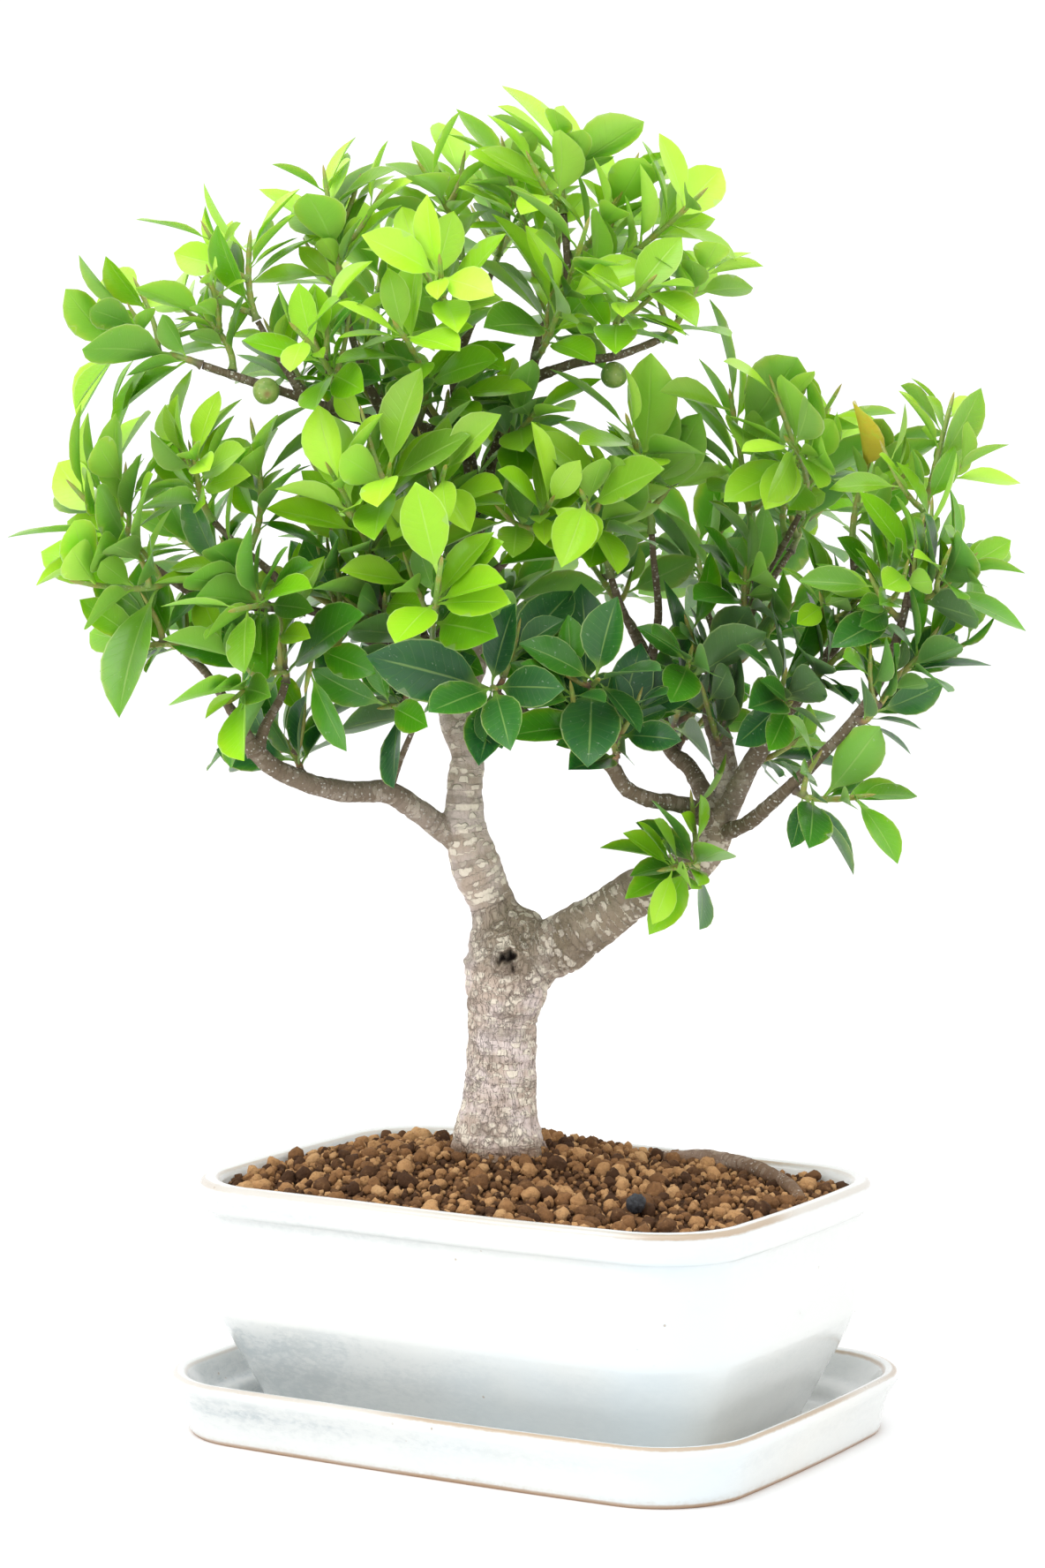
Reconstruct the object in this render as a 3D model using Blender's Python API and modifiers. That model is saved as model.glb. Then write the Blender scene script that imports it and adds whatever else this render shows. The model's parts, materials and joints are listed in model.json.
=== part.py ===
"""A broadleaf fig grown as a bonsai in a glazed, rounded-rectangle pot on its drip tray.

Metres, +Z up.  The origin is the middle of the tray's underside, X runs along the pot's long side and
+Y to its back.  The tree is laid out in millimetres on its own display front, which is turned from the
pot's: a tree point is (across to the right, away from the front, height above the table).
"""
import math
import random

import bmesh
import bpy
from mathutils import Matrix, Vector, noise
from mathutils.bvhtree import BVHTree

MM = 0.001

# Glazed pot: outer size at the rim and the heights of its profile
POT_LENGTH = 0.236
POT_WIDTH = 0.164
POT_TOP = 0.1014
POT_CORNER = 0.031
POT_BOW = 0.0034
RIM_WALL = 0.0068
RIM_BAND = 0.0120
RIDGE_HEIGHT = 0.0480
POT_WALL = 0.0085
FOOT_INSET = 0.0240
FOOT_RING = 0.0080
FOOT_DEPTH = 0.0030
POT_FLOOR = 0.0050
DRAIN_RADIUS = 0.0080
DRAIN_SPACING = 0.0900

# Drip tray under it, and how far it shows beyond the pot's rim at the ends and at the sides
TRAY_END_MARGIN = 0.0080
TRAY_SIDE_MARGIN = 0.0110
TRAY_HEIGHT = 0.0246
TRAY_CORNER = 0.034
TRAY_FLOOR = 0.0050
TRAY_LIP = 0.0048

# Soil and what holds it in
SOIL_EDGE = 0.0045
SOIL_MOUND = 0.0110
MOUND_REACH = 0.070
SCREEN_SIDE = 0.0240
SCREEN_THICKNESS = 0.0010
SCREEN_BAR = 0.0014
SCREEN_HOLES = 4
WIRE_RADIUS = 0.0006
CHAR_SIZE = 0.0042

# Tree: its heights are drawn above the table for a pot whose rim is at TREE_DATUM
FRONT_TURN = 30.7
TREE_DATUM = 0.1014
LEAF_THICKNESS = 0.00055
STEM_RADIUS = 0.00085
FIG_RADIUS = 0.0052
SEED = 41

# Clearances left between separate pieces
SEAT = 0.0003
LEAF_GAP = 0.0005

# Trunk from the buried root collar to the upper fork: (point, radius), millimetres
TRUNK = (
    ((-14, 29, 84), 13.0),
    ((-14, 28, 98), 20.5),
    ((-14, 28, 111), 19.0),
    ((-14, 28, 121), 16.4),
    ((-14, 28, 137), 14.7),
    ((-13, 28, 159), 14.2),
    ((-11, 28, 174), 17.0),
    ((-9, 28, 184), 19.6),
    ((-12, 28, 194), 15.8),
    ((-16, 28, 203), 9.4),
    ((-20, 27, 213), 9.2),
    ((-24, 26, 222), 9.7),
    ((-28, 25, 237), 8.3),
    ((-28, 24, 254), 7.3),
    ((-27, 24, 267), 6.7),
    ((-31, 24, 279), 6.4),
    ((-33, 24, 290), 6.2),
    ((-31, 25, 296), 5.4),
)

# Surface root: radii in millimetres, and the points it passes after leaving the collar, as shares of
# the pot's half-length and half-width with the height above the soil in millimetres
ROOT_SIZES = (7.0, 2.6)
ROOT_RUN = ((-0.10, 0.54, -10), (0.10, 0.72, -4), (0.30, 0.84, 3), (0.50, 0.80, 4), (0.66, 0.67, 4),
            (0.79, 0.50, 3.5), (0.86, 0.40, 0.5))

# Limbs and twigs: name, (radius at the root, radius at the end), points in millimetres.
# Each starts on the centre line of the limb that bears it.
LIMBS = (
    ("left", (4.8, 2.2), ((-33, 24, 286), (-42, 16, 300), (-55, 6, 308), (-65, 0, 315), (-76, -6, 322),
                          (-89, -12, 326))),
    ("leader", (5.6, 1.6), ((-33, 24, 288), (-25, 26, 298), (-23, 28, 313), (-24, 30, 334), (-24, 30, 366),
                            (-27, 28, 387), (-30, 26, 401), (-32, 24, 418), (-30, 22, 439),
                            (-29, 20, 461))),
    ("crown_right", (3.2, 1.4), ((-24, 30, 366), (-14, 26, 390), (-2, 20, 415), (2, 16, 432),
                                 (12, 10, 452), (11, 6, 479))),
    ("crown_spur", (2.2, 1.4), ((-2, 20, 415), (15, 8, 421), (32, -2, 424), (48, -8, 430))),
    ("crown_left", (3.2, 1.5), ((-27, 28, 387), (-40, 18, 394), (-57, 8, 397), (-74, 0, 401),
                                (-89, -6, 407), (-110, -12, 414), (-128, -16, 420))),
    ("low_left", (5.4, 3.6), ((-28, 25, 230), (-37, 22, 237), (-49, 14, 247), (-58, 8, 253),
                              (-74, -2, 254), (-90, -12, 259), (-103, -18, 266), (-109, -20, 273))),
    ("right", (13.0, 6.4), ((-8, 28, 184), (6, 24, 188), (17, 20, 196), (29, 17, 204), (40, 14, 212),
                            (49, 12, 217), (59, 10, 222), (66, 9, 227), (71, 8, 236), (73, 8, 245))),
    ("right_left", (4.0, 2.2), ((72, 8, 238), (62, 0, 247), (53, -6, 250), (44, -12, 252), (35, -16, 257),
                                (29, -18, 266), (18, -20, 273), (11, -22, 277), (-4, -24, 286),
                                (-11, -25, 291))),
    ("right_back", (4.2, 2.0), ((72, 8, 243), (66, 13, 253), (61, 18, 262), (54, 24, 268), (51, 30, 278),
                                (49, 34, 290), (45, 38, 306))),
    ("right_middle", (6.0, 1.9), ((73, 8, 241), (76, 10, 253), (74, 14, 270), (70, 18, 284), (73, 20, 296),
                                  (76, 22, 305), (84, 26, 321), (89, 28, 338), (86, 28, 355))),
    ("right_outer", (4.8, 1.8), ((73, 8, 239), (84, 0, 264), (99, -6, 287), (107, -8, 298),
                                 (119, -12, 317), (124, -13, 334), (123, -11, 351))),
    ("right_low", (3.2, 1.4), ((72, 7, 236), (84, -8, 243), (92, -16, 251), (107, -28, 267),
                               (123, -36, 286), (133, -40, 303), (140, -42, 324), (144, -40, 344),
                               (148, -34, 360))),
    ("top_left_twig", (1.9, 1.2), ((-30, 22, 439), (-44, 14, 453), (-52, 10, 462))),
    ("high_twig", (2.1, 1.3), ((-57, 8, 397), (-66, 2, 415), (-72, -4, 435), (-74, -5, 445))),
    ("shoulder_twig", (2.0, 1.2), ((-89, -6, 407), (-100, -12, 425), (-107, -13, 437))),
    ("left_end", (2.1, 1.4), ((-89, -12, 326), (-115, -16, 328), (-133, -20, 333), (-150, -22, 345))),
    ("left_up", (1.9, 1.3), ((-89, -12, 326), (-103, -16, 341), (-117, -18, 353), (-124, -18, 360))),
    ("left_back", (1.7, 1.2), ((-104, -14, 327), (-112, 2, 332), (-118, 12, 335))),
    ("front_up", (2.4, 1.4), ((-55, 6, 308), (-60, 0, 325), (-64, -4, 341), (-62, -8, 348))),
    ("front_middle", (2.4, 1.4), ((-42, 16, 300), (-37, 10, 318), (-38, 7, 340))),
    ("front_right", (2.2, 1.3), ((-24, 30, 334), (-13, 18, 342), (-6, 8, 349))),
    ("back_up", (2.4, 1.4), ((-34, 20, 292), (-48, 36, 320), (-61, 44, 338))),
    ("back_crown", (2.0, 1.3), ((-27, 28, 387), (-44, 34, 404), (-56, 38, 416))),
    ("back_top", (2.0, 1.2), ((-32, 24, 420), (-22, 34, 445), (-17, 40, 458))),
    ("low_fork", (2.6, 1.4), ((-108, -20, 271), (-115, -22, 283), (-119, -22, 290), (-127, -23, 302),
                              (-135, -22, 310))),
    ("low_fork_right", (2.3, 1.4), ((-108, -20, 271), (-104, -18, 282), (-99, -16, 291), (-97, -15, 297))),
    ("low_twig", (1.7, 1.1), ((-58, 8, 253), (-53, 6, 266), (-48, 4, 278))),
    ("low_middle", (1.8, 1.2), ((-63, 1, 313), (-71, -7, 316), (-75, -10, 319))),
    ("inner_middle", (1.9, 1.3), ((47, 36, 298), (39, 32, 314), (33, 26, 328), (30, 21, 337))),
    ("inner_up", (1.9, 1.3), ((46, 37, 302), (49, 30, 322), (47, 22, 342), (46, 20, 354))),
    ("inner_left", (1.8, 1.2), ((10, -22, 277), (14, -18, 284), (17, -15, 288))),
    ("inner_back", (1.8, 1.2), ((46, 37, 302), (40, 46, 315), (35, 50, 322))),
    ("right_up", (1.9, 1.3), ((88, 27, 334), (98, 19, 350), (104, 14, 362))),
    ("right_far", (1.9, 1.3), ((84, 26, 321), (94, 36, 335), (102, 44, 346))),
    ("right_rear", (2.0, 1.3), ((76, 22, 305), (71, 36, 316), (69, 45, 322))),
    ("under_spur", (2.0, 1.4), ((59, 10, 221), (62, 4, 222), (63, 1, 223))),
)

# Leafy shoots: name, where it leaves the wood, where it ends, leaves, leaf length, millimetres
SHOOTS = (
    ("top_1", (11, 6, 480), (9, 0, 508), 5, 30),
    ("top_2", (5, 10, 459), (-12, 8, 503), 7, 27),
    ("top_3", (10, 8, 463), (38, 10, 497), 6, 28),
    ("top_4", (13, 8, 452), (62, -15, 484), 8, 28),
    ("top_5", (50, -8, 432), (65, -14, 458), 5, 24),
    ("top_6", (0, 18, 425), (19, -30, 471), 7, 33),
    ("top_7", (-16, 40, 460), (-2, 70, 482), 6, 27),
    ("top_8", (32, -4, 424), (43, -45, 451), 6, 26),
    ("high_1", (-29, 20, 463), (-43, 8, 495), 7, 26),
    ("high_2", (-73, -4, 448), (-81, -6, 491), 7, 26),
    ("high_3", (-31, 22, 425), (-36, -40, 458), 6, 27),
    ("high_4", (-47, 12, 398), (-52, -42, 434), 7, 28),
    ("high_5", (-56, 38, 418), (-59, 62, 472), 6, 27),
    ("shoulder_1", (-108, -12, 439), (-110, -12, 466), 5, 26),
    ("shoulder_2", (-117, -14, 417), (-140, -8, 449), 7, 25),
    ("shoulder_3", (-129, -16, 420), (-165, -16, 425), 5, 30),
    ("shoulder_4", (-80, -4, 403), (-90, -46, 433), 6, 26),
    ("left_1", (-152, -22, 347), (-176, -24, 372), 4, 34),
    ("left_2", (-142, -21, 338), (-172, -36, 337), 3, 36),
    ("left_3", (-125, -18, 361), (-130, -30, 386), 7, 26),
    ("left_4", (-112, -17, 348), (-109, -12, 394), 7, 27),
    ("left_5", (-119, 13, 335), (-147, 46, 355), 7, 28),
    ("front_1", (-70, -3, 318), (-77, -44, 379), 7, 33),
    ("front_2", (-62, -8, 349), (-55, -52, 381), 7, 33),
    ("front_3", (-38, 7, 341), (-34, -55, 381), 7, 31),
    ("front_4", (-39, 12, 312), (-35, -80, 346), 5, 31),
    ("front_5", (-104, -15, 327), (-113, -62, 328), 6, 28),
    ("front_6", (-5, 7, 350), (6, -25, 368), 5, 27),
    ("back_1", (-62, 45, 339), (-62, 85, 368), 7, 30),
    ("low_1", (-136, -22, 311), (-152, -26, 312), 5, 30),
    ("low_2", (-97, -15, 298), (-114, -45, 294), 5, 38),
    ("low_3", (-75, -10, 319), (-87, -40, 300), 5, 30),
    ("low_4", (-48, 4, 279), (-58, -28, 289), 5, 34),
    ("inner_1", (-12, -26, 291), (-15, -54, 298), 5, 36),
    ("inner_2", (17, -15, 289), (24, -48, 301), 5, 32),
    ("inner_3", (30, 21, 338), (18, -30, 371), 8, 32),
    ("inner_4", (46, 20, 355), (36, -14, 398), 8, 32),
    ("inner_5", (53, 26, 270), (60, -20, 309), 5, 34),
    ("back_2", (34, 51, 323), (12, 84, 354), 7, 30),
    ("right_1", (86, 28, 357), (76, -4, 407), 8, 34),
    ("right_2", (104, 14, 363), (97, -26, 391), 9, 28),
    ("right_3", (100, 18, 353), (117, 12, 408), 8, 29),
    ("right_4", (123, -11, 353), (132, -10, 391), 8, 28),
    ("right_5", (148, -34, 362), (159, -24, 404), 7, 24),
    ("right_6", (141, -42, 330), (163, -52, 345), 8, 28),
    ("back_3", (103, 45, 347), (114, 90, 368), 7, 28),
    ("back_4", (69, 46, 323), (67, 92, 354), 7, 30),
    ("under_1", (64, 0, 223), (51, -24, 226), 8, 26),
    ("under_2", (100, -22, 258), (125, -42, 256), 5, 27),
)

# Green figs sitting on the twigs, and one piece of charred grit lying on the soil
FIGS = (("left", (-104, -15, 411)), ("right", (30, 0, 419)))
CHAR_SPOT = (0.55, -0.41)


def tree(point):
    """Turn a tree point in millimetres into the pot's frame in metres."""
    across, away, height = point
    turn = math.radians(FRONT_TURN)
    x = across * math.cos(turn) - away * math.sin(turn)
    y = across * math.sin(turn) + away * math.cos(turn)
    return Vector((x, y, height)) * MM + Vector((0, 0, POT_TOP - TREE_DATUM))


def on_soil(along, back, height):
    """A point over the soil, from shares of the pot's half-length and half-width and a height above it."""
    x = along * POT_LENGTH / 2
    y = back * POT_WIDTH / 2
    return Vector((x, y, soil_height(x, y) + height))


# ---------------------------------------------------------------- scene helpers

def clear_scene():
    for thing in list(bpy.data.objects):
        bpy.data.objects.remove(thing, do_unlink=True)


def new_collection(name):
    made = bpy.data.collections.new(name)
    bpy.context.scene.collection.children.link(made)
    return made


def new_material(name, colour, roughness, metallic=0.0):
    made = bpy.data.materials.new(name)
    made.use_nodes = True
    shader = made.node_tree.nodes["Principled BSDF"]
    shader.inputs["Base Color"].default_value = (*colour, 1.0)
    shader.inputs["Roughness"].default_value = roughness
    shader.inputs["Metallic"].default_value = metallic
    return made


def new_object(name, bm, collection, material, smooth=True):
    bmesh.ops.recalc_face_normals(bm, faces=bm.faces)
    mesh = bpy.data.meshes.new(name)
    bm.to_mesh(mesh)
    bm.free()
    for face in mesh.polygons:
        face.use_smooth = smooth
    made = bpy.data.objects.new(name, mesh)
    collection.objects.link(made)
    if material:
        mesh.materials.append(material)
    return made


def cut(target, cutter):
    """Take one closed tool away from a piece and hide the tool."""
    cutter.hide_render = True
    cutter.display_type = "WIRE"
    step = target.modifiers.new("Cut " + cutter.name, "BOOLEAN")
    step.operation = "DIFFERENCE"
    step.solver = "EXACT"
    step.object = cutter


def loft(bm, rings, close_start=True, close_end=True):
    """Skin a row of equal rings of points into one closed tube."""
    rows = [[bm.verts.new(point) for point in ring] for ring in rings]
    count = len(rows[0])
    for low, high in zip(rows, rows[1:]):
        for i in range(count):
            j = (i + 1) % count
            bm.faces.new((low[i], low[j], high[j], high[i]))
    if close_start:
        bm.faces.new(list(reversed(rows[0])))
    if close_end:
        bm.faces.new(rows[-1])
    return rows


# ---------------------------------------------------------------- pot, tray, soil

def outline(half_x, half_y, corner, bow, z):
    """One level of the pot: a rounded rectangle with slightly bowed sides."""
    corner = min(corner, half_x - 0.002, half_y - 0.002)
    plan = []
    for turn, sx, sy in ((0, 1, 1), (90, -1, 1), (180, -1, -1), (270, 1, -1)):
        for k in range(6):
            angle = math.radians(turn + 18 * k)
            plan.append((sx * (half_x - corner) + corner * math.cos(angle),
                         sy * (half_y - corner) + corner * math.sin(angle)))
    full = []
    for i, (x, y) in enumerate(plan):
        full.append((x, y))
        if i % 6 == 5:
            nx, ny = plan[(i + 1) % len(plan)]
            full += [(x + (nx - x) * t, y + (ny - y) * t) for t in (0.25, 0.5, 0.75)]
    ring = []
    for x, y in full:
        out_x = bow * max(0.0, 1 - (y / half_y) ** 2)
        out_y = bow * max(0.0, 1 - (x / half_x) ** 2)
        ring.append(Vector((x + math.copysign(out_x, x) * abs(x) / half_x,
                            y + math.copysign(out_y, y) * abs(y) / half_y, z)))
    return ring


def pot_level(inset, z):
    """The pot's outline pulled in by an inset, its corners tightening with it."""
    return outline(POT_LENGTH / 2 - inset, POT_WIDTH / 2 - inset,
                   max(0.012, POT_CORNER - 0.45 * inset), POT_BOW, z)


def tray_level(inset, z):
    return outline(POT_LENGTH / 2 + TRAY_END_MARGIN - inset, POT_WIDTH / 2 + TRAY_SIDE_MARGIN - inset,
                   max(0.015, TRAY_CORNER - 0.35 * inset), POT_BOW, z)


POT_BASE = TRAY_FLOOR + SEAT
POT_UNDERSIDE = POT_BASE + FOOT_DEPTH
POT_INSIDE = POT_UNDERSIDE + POT_FLOOR


def inner_wall():
    """Inside of the pot from the rim down to its floor: (inset, height)."""
    return ((RIM_WALL, POT_TOP - 0.0018), (RIM_WALL + 0.0022, POT_TOP - 0.0080),
            (0.0050 + POT_WALL, RIDGE_HEIGHT + 0.002), (0.0180 + POT_WALL, 0.0210),
            (FOOT_INSET + POT_WALL - 0.001, POT_INSIDE))


def build_pot(collection, material, tools):
    levels = [(FOOT_INSET + FOOT_RING + 0.001, POT_UNDERSIDE), (FOOT_INSET + FOOT_RING, POT_BASE),
              (FOOT_INSET, POT_BASE), (FOOT_INSET - 0.0012, POT_BASE + 0.0030), (0.0180, 0.0190),
              (0.0072, RIDGE_HEIGHT - 0.0050), (0.0050, RIDGE_HEIGHT + 0.0010),
              (0.0024, POT_TOP - RIM_BAND - 0.0010), (0.0004, POT_TOP - RIM_BAND + 0.0010),
              (0.0, POT_TOP - 0.0022), (0.0014, POT_TOP - 0.0003), (RIM_WALL / 2, POT_TOP),
              (RIM_WALL - 0.0012, POT_TOP - 0.0004)]
    bm = bmesh.new()
    loft(bm, [pot_level(inset, z) for inset, z in (*levels, *inner_wall())])
    pot = new_object("pot", bm, collection, material)
    for side, x in (("left", -DRAIN_SPACING / 2), ("right", DRAIN_SPACING / 2)):
        bm = bmesh.new()
        bmesh.ops.create_cone(bm, cap_ends=True, segments=20, radius1=DRAIN_RADIUS,
                              radius2=DRAIN_RADIUS, depth=0.030,
                              matrix=Matrix.Translation((x, 0, POT_UNDERSIDE)))
        cut(pot, new_object("drain_" + side, bm, tools, None))
    return pot


def build_tray(collection, material):
    levels = ((0.0066, 0.0), (0.0052, 0.0030), (0.0044, 0.0110), (0.0022, TRAY_HEIGHT - 0.0075),
              (0.0, TRAY_HEIGHT - 0.0030), (0.0008, TRAY_HEIGHT - 0.0004), (TRAY_LIP / 2, TRAY_HEIGHT),
              (TRAY_LIP, TRAY_HEIGHT - 0.0012), (0.0092, 0.0150), (0.0125, 0.0125),
              (0.0170, TRAY_FLOOR + 0.0008), (0.0200, TRAY_FLOOR))
    bm = bmesh.new()
    loft(bm, [tray_level(inset, z) for inset, z in levels])
    return new_object("drip_tray", bm, collection, material)


def soil_height(x, y):
    """Top of the soil: mounded to the root collar, uneven with loose grit."""
    collar = tree(TRUNK[1][0])
    reach = math.hypot(x - collar.x, y - collar.y) / MOUND_REACH
    bump = noise.noise(Vector((x, y, 0)) * 90.0) * 0.0012
    return POT_TOP - SOIL_EDGE + SOIL_MOUND * math.exp(-reach ** 2) + bump


def build_soil(collection, material, tools):
    wall = [(inset + SEAT * 1.5, z) for inset, z in inner_wall()[1:]]
    floor_inset, _ = wall[-1]
    floor = POT_INSIDE + SCREEN_THICKNESS + 2.2 * WIRE_RADIUS + 2 * SEAT
    rings = [pot_level(floor_inset - 0.0012, floor)]
    rings += [pot_level(inset, z) for inset, z in reversed(wall[:-1])]
    edge = pot_level(wall[0][0], POT_TOP - SOIL_EDGE)
    rings[-1] = [Vector((p.x, p.y, min(soil_height(p.x, p.y), POT_TOP - SOIL_EDGE + 0.001) - 0.0035))
                 for p in edge]
    centre = tree(TRUNK[1][0])
    collar = TRUNK[1][1] * MM
    for share, round_out in ((0.985, 1.35), (0.83, 1.35), (0.64, 1.35), (0.43, 1.35), (0.20, 1.35),
                             (0.0, 1.35), (0.0, 0.55)):
        ring = []
        for p in edge:
            out = Vector((p.x - centre.x, p.y - centre.y))
            out *= share + (1 - share) * round_out * collar / out.length
            x = centre.x + out.x
            y = centre.y + out.y
            ring.append(Vector((x, y, soil_height(x, y))))
        rings.append(ring)
    bm = bmesh.new()
    loft(bm, rings)
    soil = new_object("soil", bm, collection, material)
    bm = bmesh.new()
    spots = [tree(p) for p, _ in TRUNK[:6]]
    tube(bm, spots, [r * MM + 1.5 * SEAT for _, r in TRUNK[:6]], 14, stretch=SEAT)
    cut(soil, new_object("collar_pocket", bm, tools, None))
    way, radii = root_path()
    bm = bmesh.new()
    tube(bm, way, [r + 1.5 * SEAT for r in radii], 8, stretch=SEAT)
    cut(soil, new_object("root_pocket", bm, tools, None))
    return soil


def build_screen(name, x, collection, material):
    """Square mesh laid over a drain hole: a plate with a grid of openings."""
    side = SCREEN_SIDE
    pitch = (side - SCREEN_BAR) / SCREEN_HOLES
    lines = []
    for k in range(SCREEN_HOLES + 1):
        lines += [-side / 2 + k * pitch, -side / 2 + k * pitch + SCREEN_BAR]
    bm = bmesh.new()
    z = POT_INSIDE + SEAT
    grid = [[bm.verts.new((x + u, v, z)) for v in lines] for u in lines]
    for i in range(len(lines) - 1):
        for j in range(len(lines) - 1):
            if i % 2 == 0 or j % 2 == 0:
                bm.faces.new((grid[i][j], grid[i + 1][j], grid[i + 1][j + 1], grid[i][j + 1]))
    screen = new_object(name, bm, collection, material, smooth=False)
    step = screen.modifiers.new("Thickness", "SOLIDIFY")
    step.thickness = SCREEN_THICKNESS
    step.offset = 1.0
    return screen


def build_clip(name, x, collection, material):
    """Bent wire: over the mesh, down through two openings and the drain hole, out along the underside."""
    pitch = (SCREEN_SIDE - SCREEN_BAR) / SCREEN_HOLES
    leg = pitch / 2
    over = POT_INSIDE + SEAT + SCREEN_THICKNESS + SEAT + WIRE_RADIUS
    under = POT_UNDERSIDE - SEAT - WIRE_RADIUS
    reach = DRAIN_RADIUS + 0.0035
    path = [(-reach, under), (-leg, under), (-leg, over), (leg, over), (leg, under), (reach, under)]
    rounded = []
    for k, (u, z) in enumerate(path):
        here = Vector((u, 0, z))
        if k in (0, len(path) - 1):
            rounded.append(here)
            continue
        for other in (path[k - 1], path[k + 1]):
            way = Vector((other[0], 0, other[1])) - here
            rounded.append(here + way.normalized() * 0.0009)
    bm = bmesh.new()
    spots = [Vector((x, pitch / 2, 0)) + p for p in rounded]
    tube(bm, spots, [WIRE_RADIUS] * len(spots), 6)
    return new_object(name, bm, collection, material)


def build_char(collection, material, soil):
    """A rough lump of charred grit resting on the soil."""
    bm = bmesh.new()
    bmesh.ops.create_icosphere(bm, subdivisions=2, radius=CHAR_SIZE)
    for vert in bm.verts:
        vert.co *= 0.9 + 0.22 * noise.noise(vert.co * 260.0)
    bmesh.ops.translate(bm, verts=bm.verts, vec=on_soil(*CHAR_SPOT, 3 * CHAR_SIZE))
    mesh = soil.data
    ground = BVHTree.FromPolygons([v.co for v in mesh.vertices], [tuple(p.vertices) for p in mesh.polygons])
    drop = min(ground.ray_cast(vert.co, Vector((0, 0, -1)))[3] for vert in bm.verts)
    bmesh.ops.translate(bm, verts=bm.verts, vec=(0, 0, SEAT - drop))
    return new_object("char_grit", bm, collection, material, smooth=False)


# ---------------------------------------------------------------- wood

def smooth_path(points, step):
    """Round a sketched line into evenly spaced points."""
    line = []
    padded = [points[0] * 2 - points[1], *points, points[-1] * 2 - points[-2]]
    for a, b, c, d in zip(padded, padded[1:], padded[2:], padded[3:]):
        parts = max(1, round((c - b).length / step))
        for k in range(parts):
            t = k / parts
            line.append(0.5 * (2 * b + (c - a) * t + (2 * a - 5 * b + 4 * c - d) * t * t
                               + (3 * b - a - 3 * c + d) * t ** 3))
    line.append(points[-1])
    return line


def limb_path(points, thick, thin):
    """Rounded centre line of a limb and its radius at every point."""
    way = smooth_path(points, 0.012)
    count = len(way) - 1
    radii = [(thin + (thick - thin) * (1 - k / count) ** 1.3) * MM for k in range(count + 1)]
    return way, radii


def root_path():
    """The surface root, from the middle of the collar round the pot's right-hand back corner."""
    run = [on_soil(along, back, height * MM) for along, back, height in ROOT_RUN]
    return limb_path([tree(TRUNK[1][0]), *run], *ROOT_SIZES)


def tube(bm, way, radii, sides, stretch=0.0):
    """A closed tube of changing radius along a line."""
    first = (way[1] - way[0]).normalized()
    last = (way[-1] - way[-2]).normalized()
    way = [way[0] - first * stretch, *way[1:-1], way[-1] + last * stretch]
    side = first.orthogonal().normalized()
    rings = []
    for k, (centre, radius) in enumerate(zip(way, radii)):
        ahead = way[min(k + 1, len(way) - 1)] - way[max(k - 1, 0)]
        ahead.normalize()
        side = (side - ahead * side.dot(ahead)).normalized()
        other = ahead.cross(side)
        ring = []
        for i in range(sides):
            angle = 2 * math.pi * i / sides
            out = side * math.cos(angle) + other * math.sin(angle)
            ring.append(centre + out * radius)
        rings.append(ring)
    loft(bm, rings)


def limbs():
    """Name, centre line and radii of everything that grows from the trunk."""
    rows = [("root", *root_path())]
    for name, (thick, thin), points in LIMBS:
        rows.append((name, *limb_path([tree(p) for p in points], thick, thin)))
    return rows


def build_wood(collection, material, tools):
    """Trunk and every limb joined into the one body they grow as."""
    spots = [tree(p) for p, _ in TRUNK]
    bm = bmesh.new()
    tube(bm, spots, [r * MM for _, r in TRUNK], 14)
    wood = new_object("trunk_and_branches", bm, collection, material)
    for name, way, radii in limbs():
        bm = bmesh.new()
        tube(bm, way, radii, 8 if radii[0] > 0.003 else 6)
        limb = new_object("limb_" + name, bm, tools, None)
        limb.hide_render = True
        limb.display_type = "WIRE"
        step = wood.modifiers.new("Grow " + name, "BOOLEAN")
        step.operation = "UNION"
        step.solver = "EXACT"
        step.object = limb
    return wood


def wood_lines():
    """Every straight piece of the wood's centre lines, with the radius along it."""
    lines = []
    spots = [tree(p) for p, _ in TRUNK]
    sizes = [r * MM for _, r in TRUNK]
    runs = [(spots, sizes)] + [(way, radii) for _, way, radii in limbs()]
    for way, radii in runs:
        for k in range(len(way) - 1):
            lines.append((way[k], way[k + 1], radii[k], radii[k + 1], k == len(way) - 2))
    return lines


def seat_on_wood(near, toward, lines):
    """Where a stem can start on the bark near a point: just clear of it, and the way out."""
    best = None
    for a, b, ra, rb, tip in lines:
        along = b - a
        t = max(0.0, min(1.0, (near - a).dot(along) / along.length_squared))
        spot = a + along * t
        far = (near - spot).length
        if best is None or far < best[0]:
            best = (far, spot, along.normalized(), ra + (rb - ra) * t, tip and t > 0.97)
    _, spot, along, radius, at_end = best
    if at_end:
        return spot + along * (SEAT + 0.0001), along
    out = toward - spot
    out = (out - along * out.dot(along)).normalized()
    return spot + out * (radius + SEAT), out


# ---------------------------------------------------------------- leafy shoots

def leaf_rings(base, ahead, face, length):
    """Cross-sections of one leaf: stalk, blade and point, cupped and arching down."""
    side = ahead.cross(face).normalized()
    rings = []
    for share, half, arch in ((0.17, 0.05, 0.0), (0.46, 0.25, 0.02), (0.80, 0.22, 0.07)):
        centre = base + ahead * (length * share) - face * (length * arch)
        rim = length * half
        rise = face * (rim * 0.22)
        thick = LEAF_THICKNESS * (1.4 if share < 0.3 else 1.0)
        rings.append([centre + side * rim + rise, centre + face * thick * 0.5,
                      centre - side * rim + rise, centre - face * thick * 0.9])
    tip = base + ahead * (length * 1.18) - face * (length * 0.17)
    return rings, tip


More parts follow.
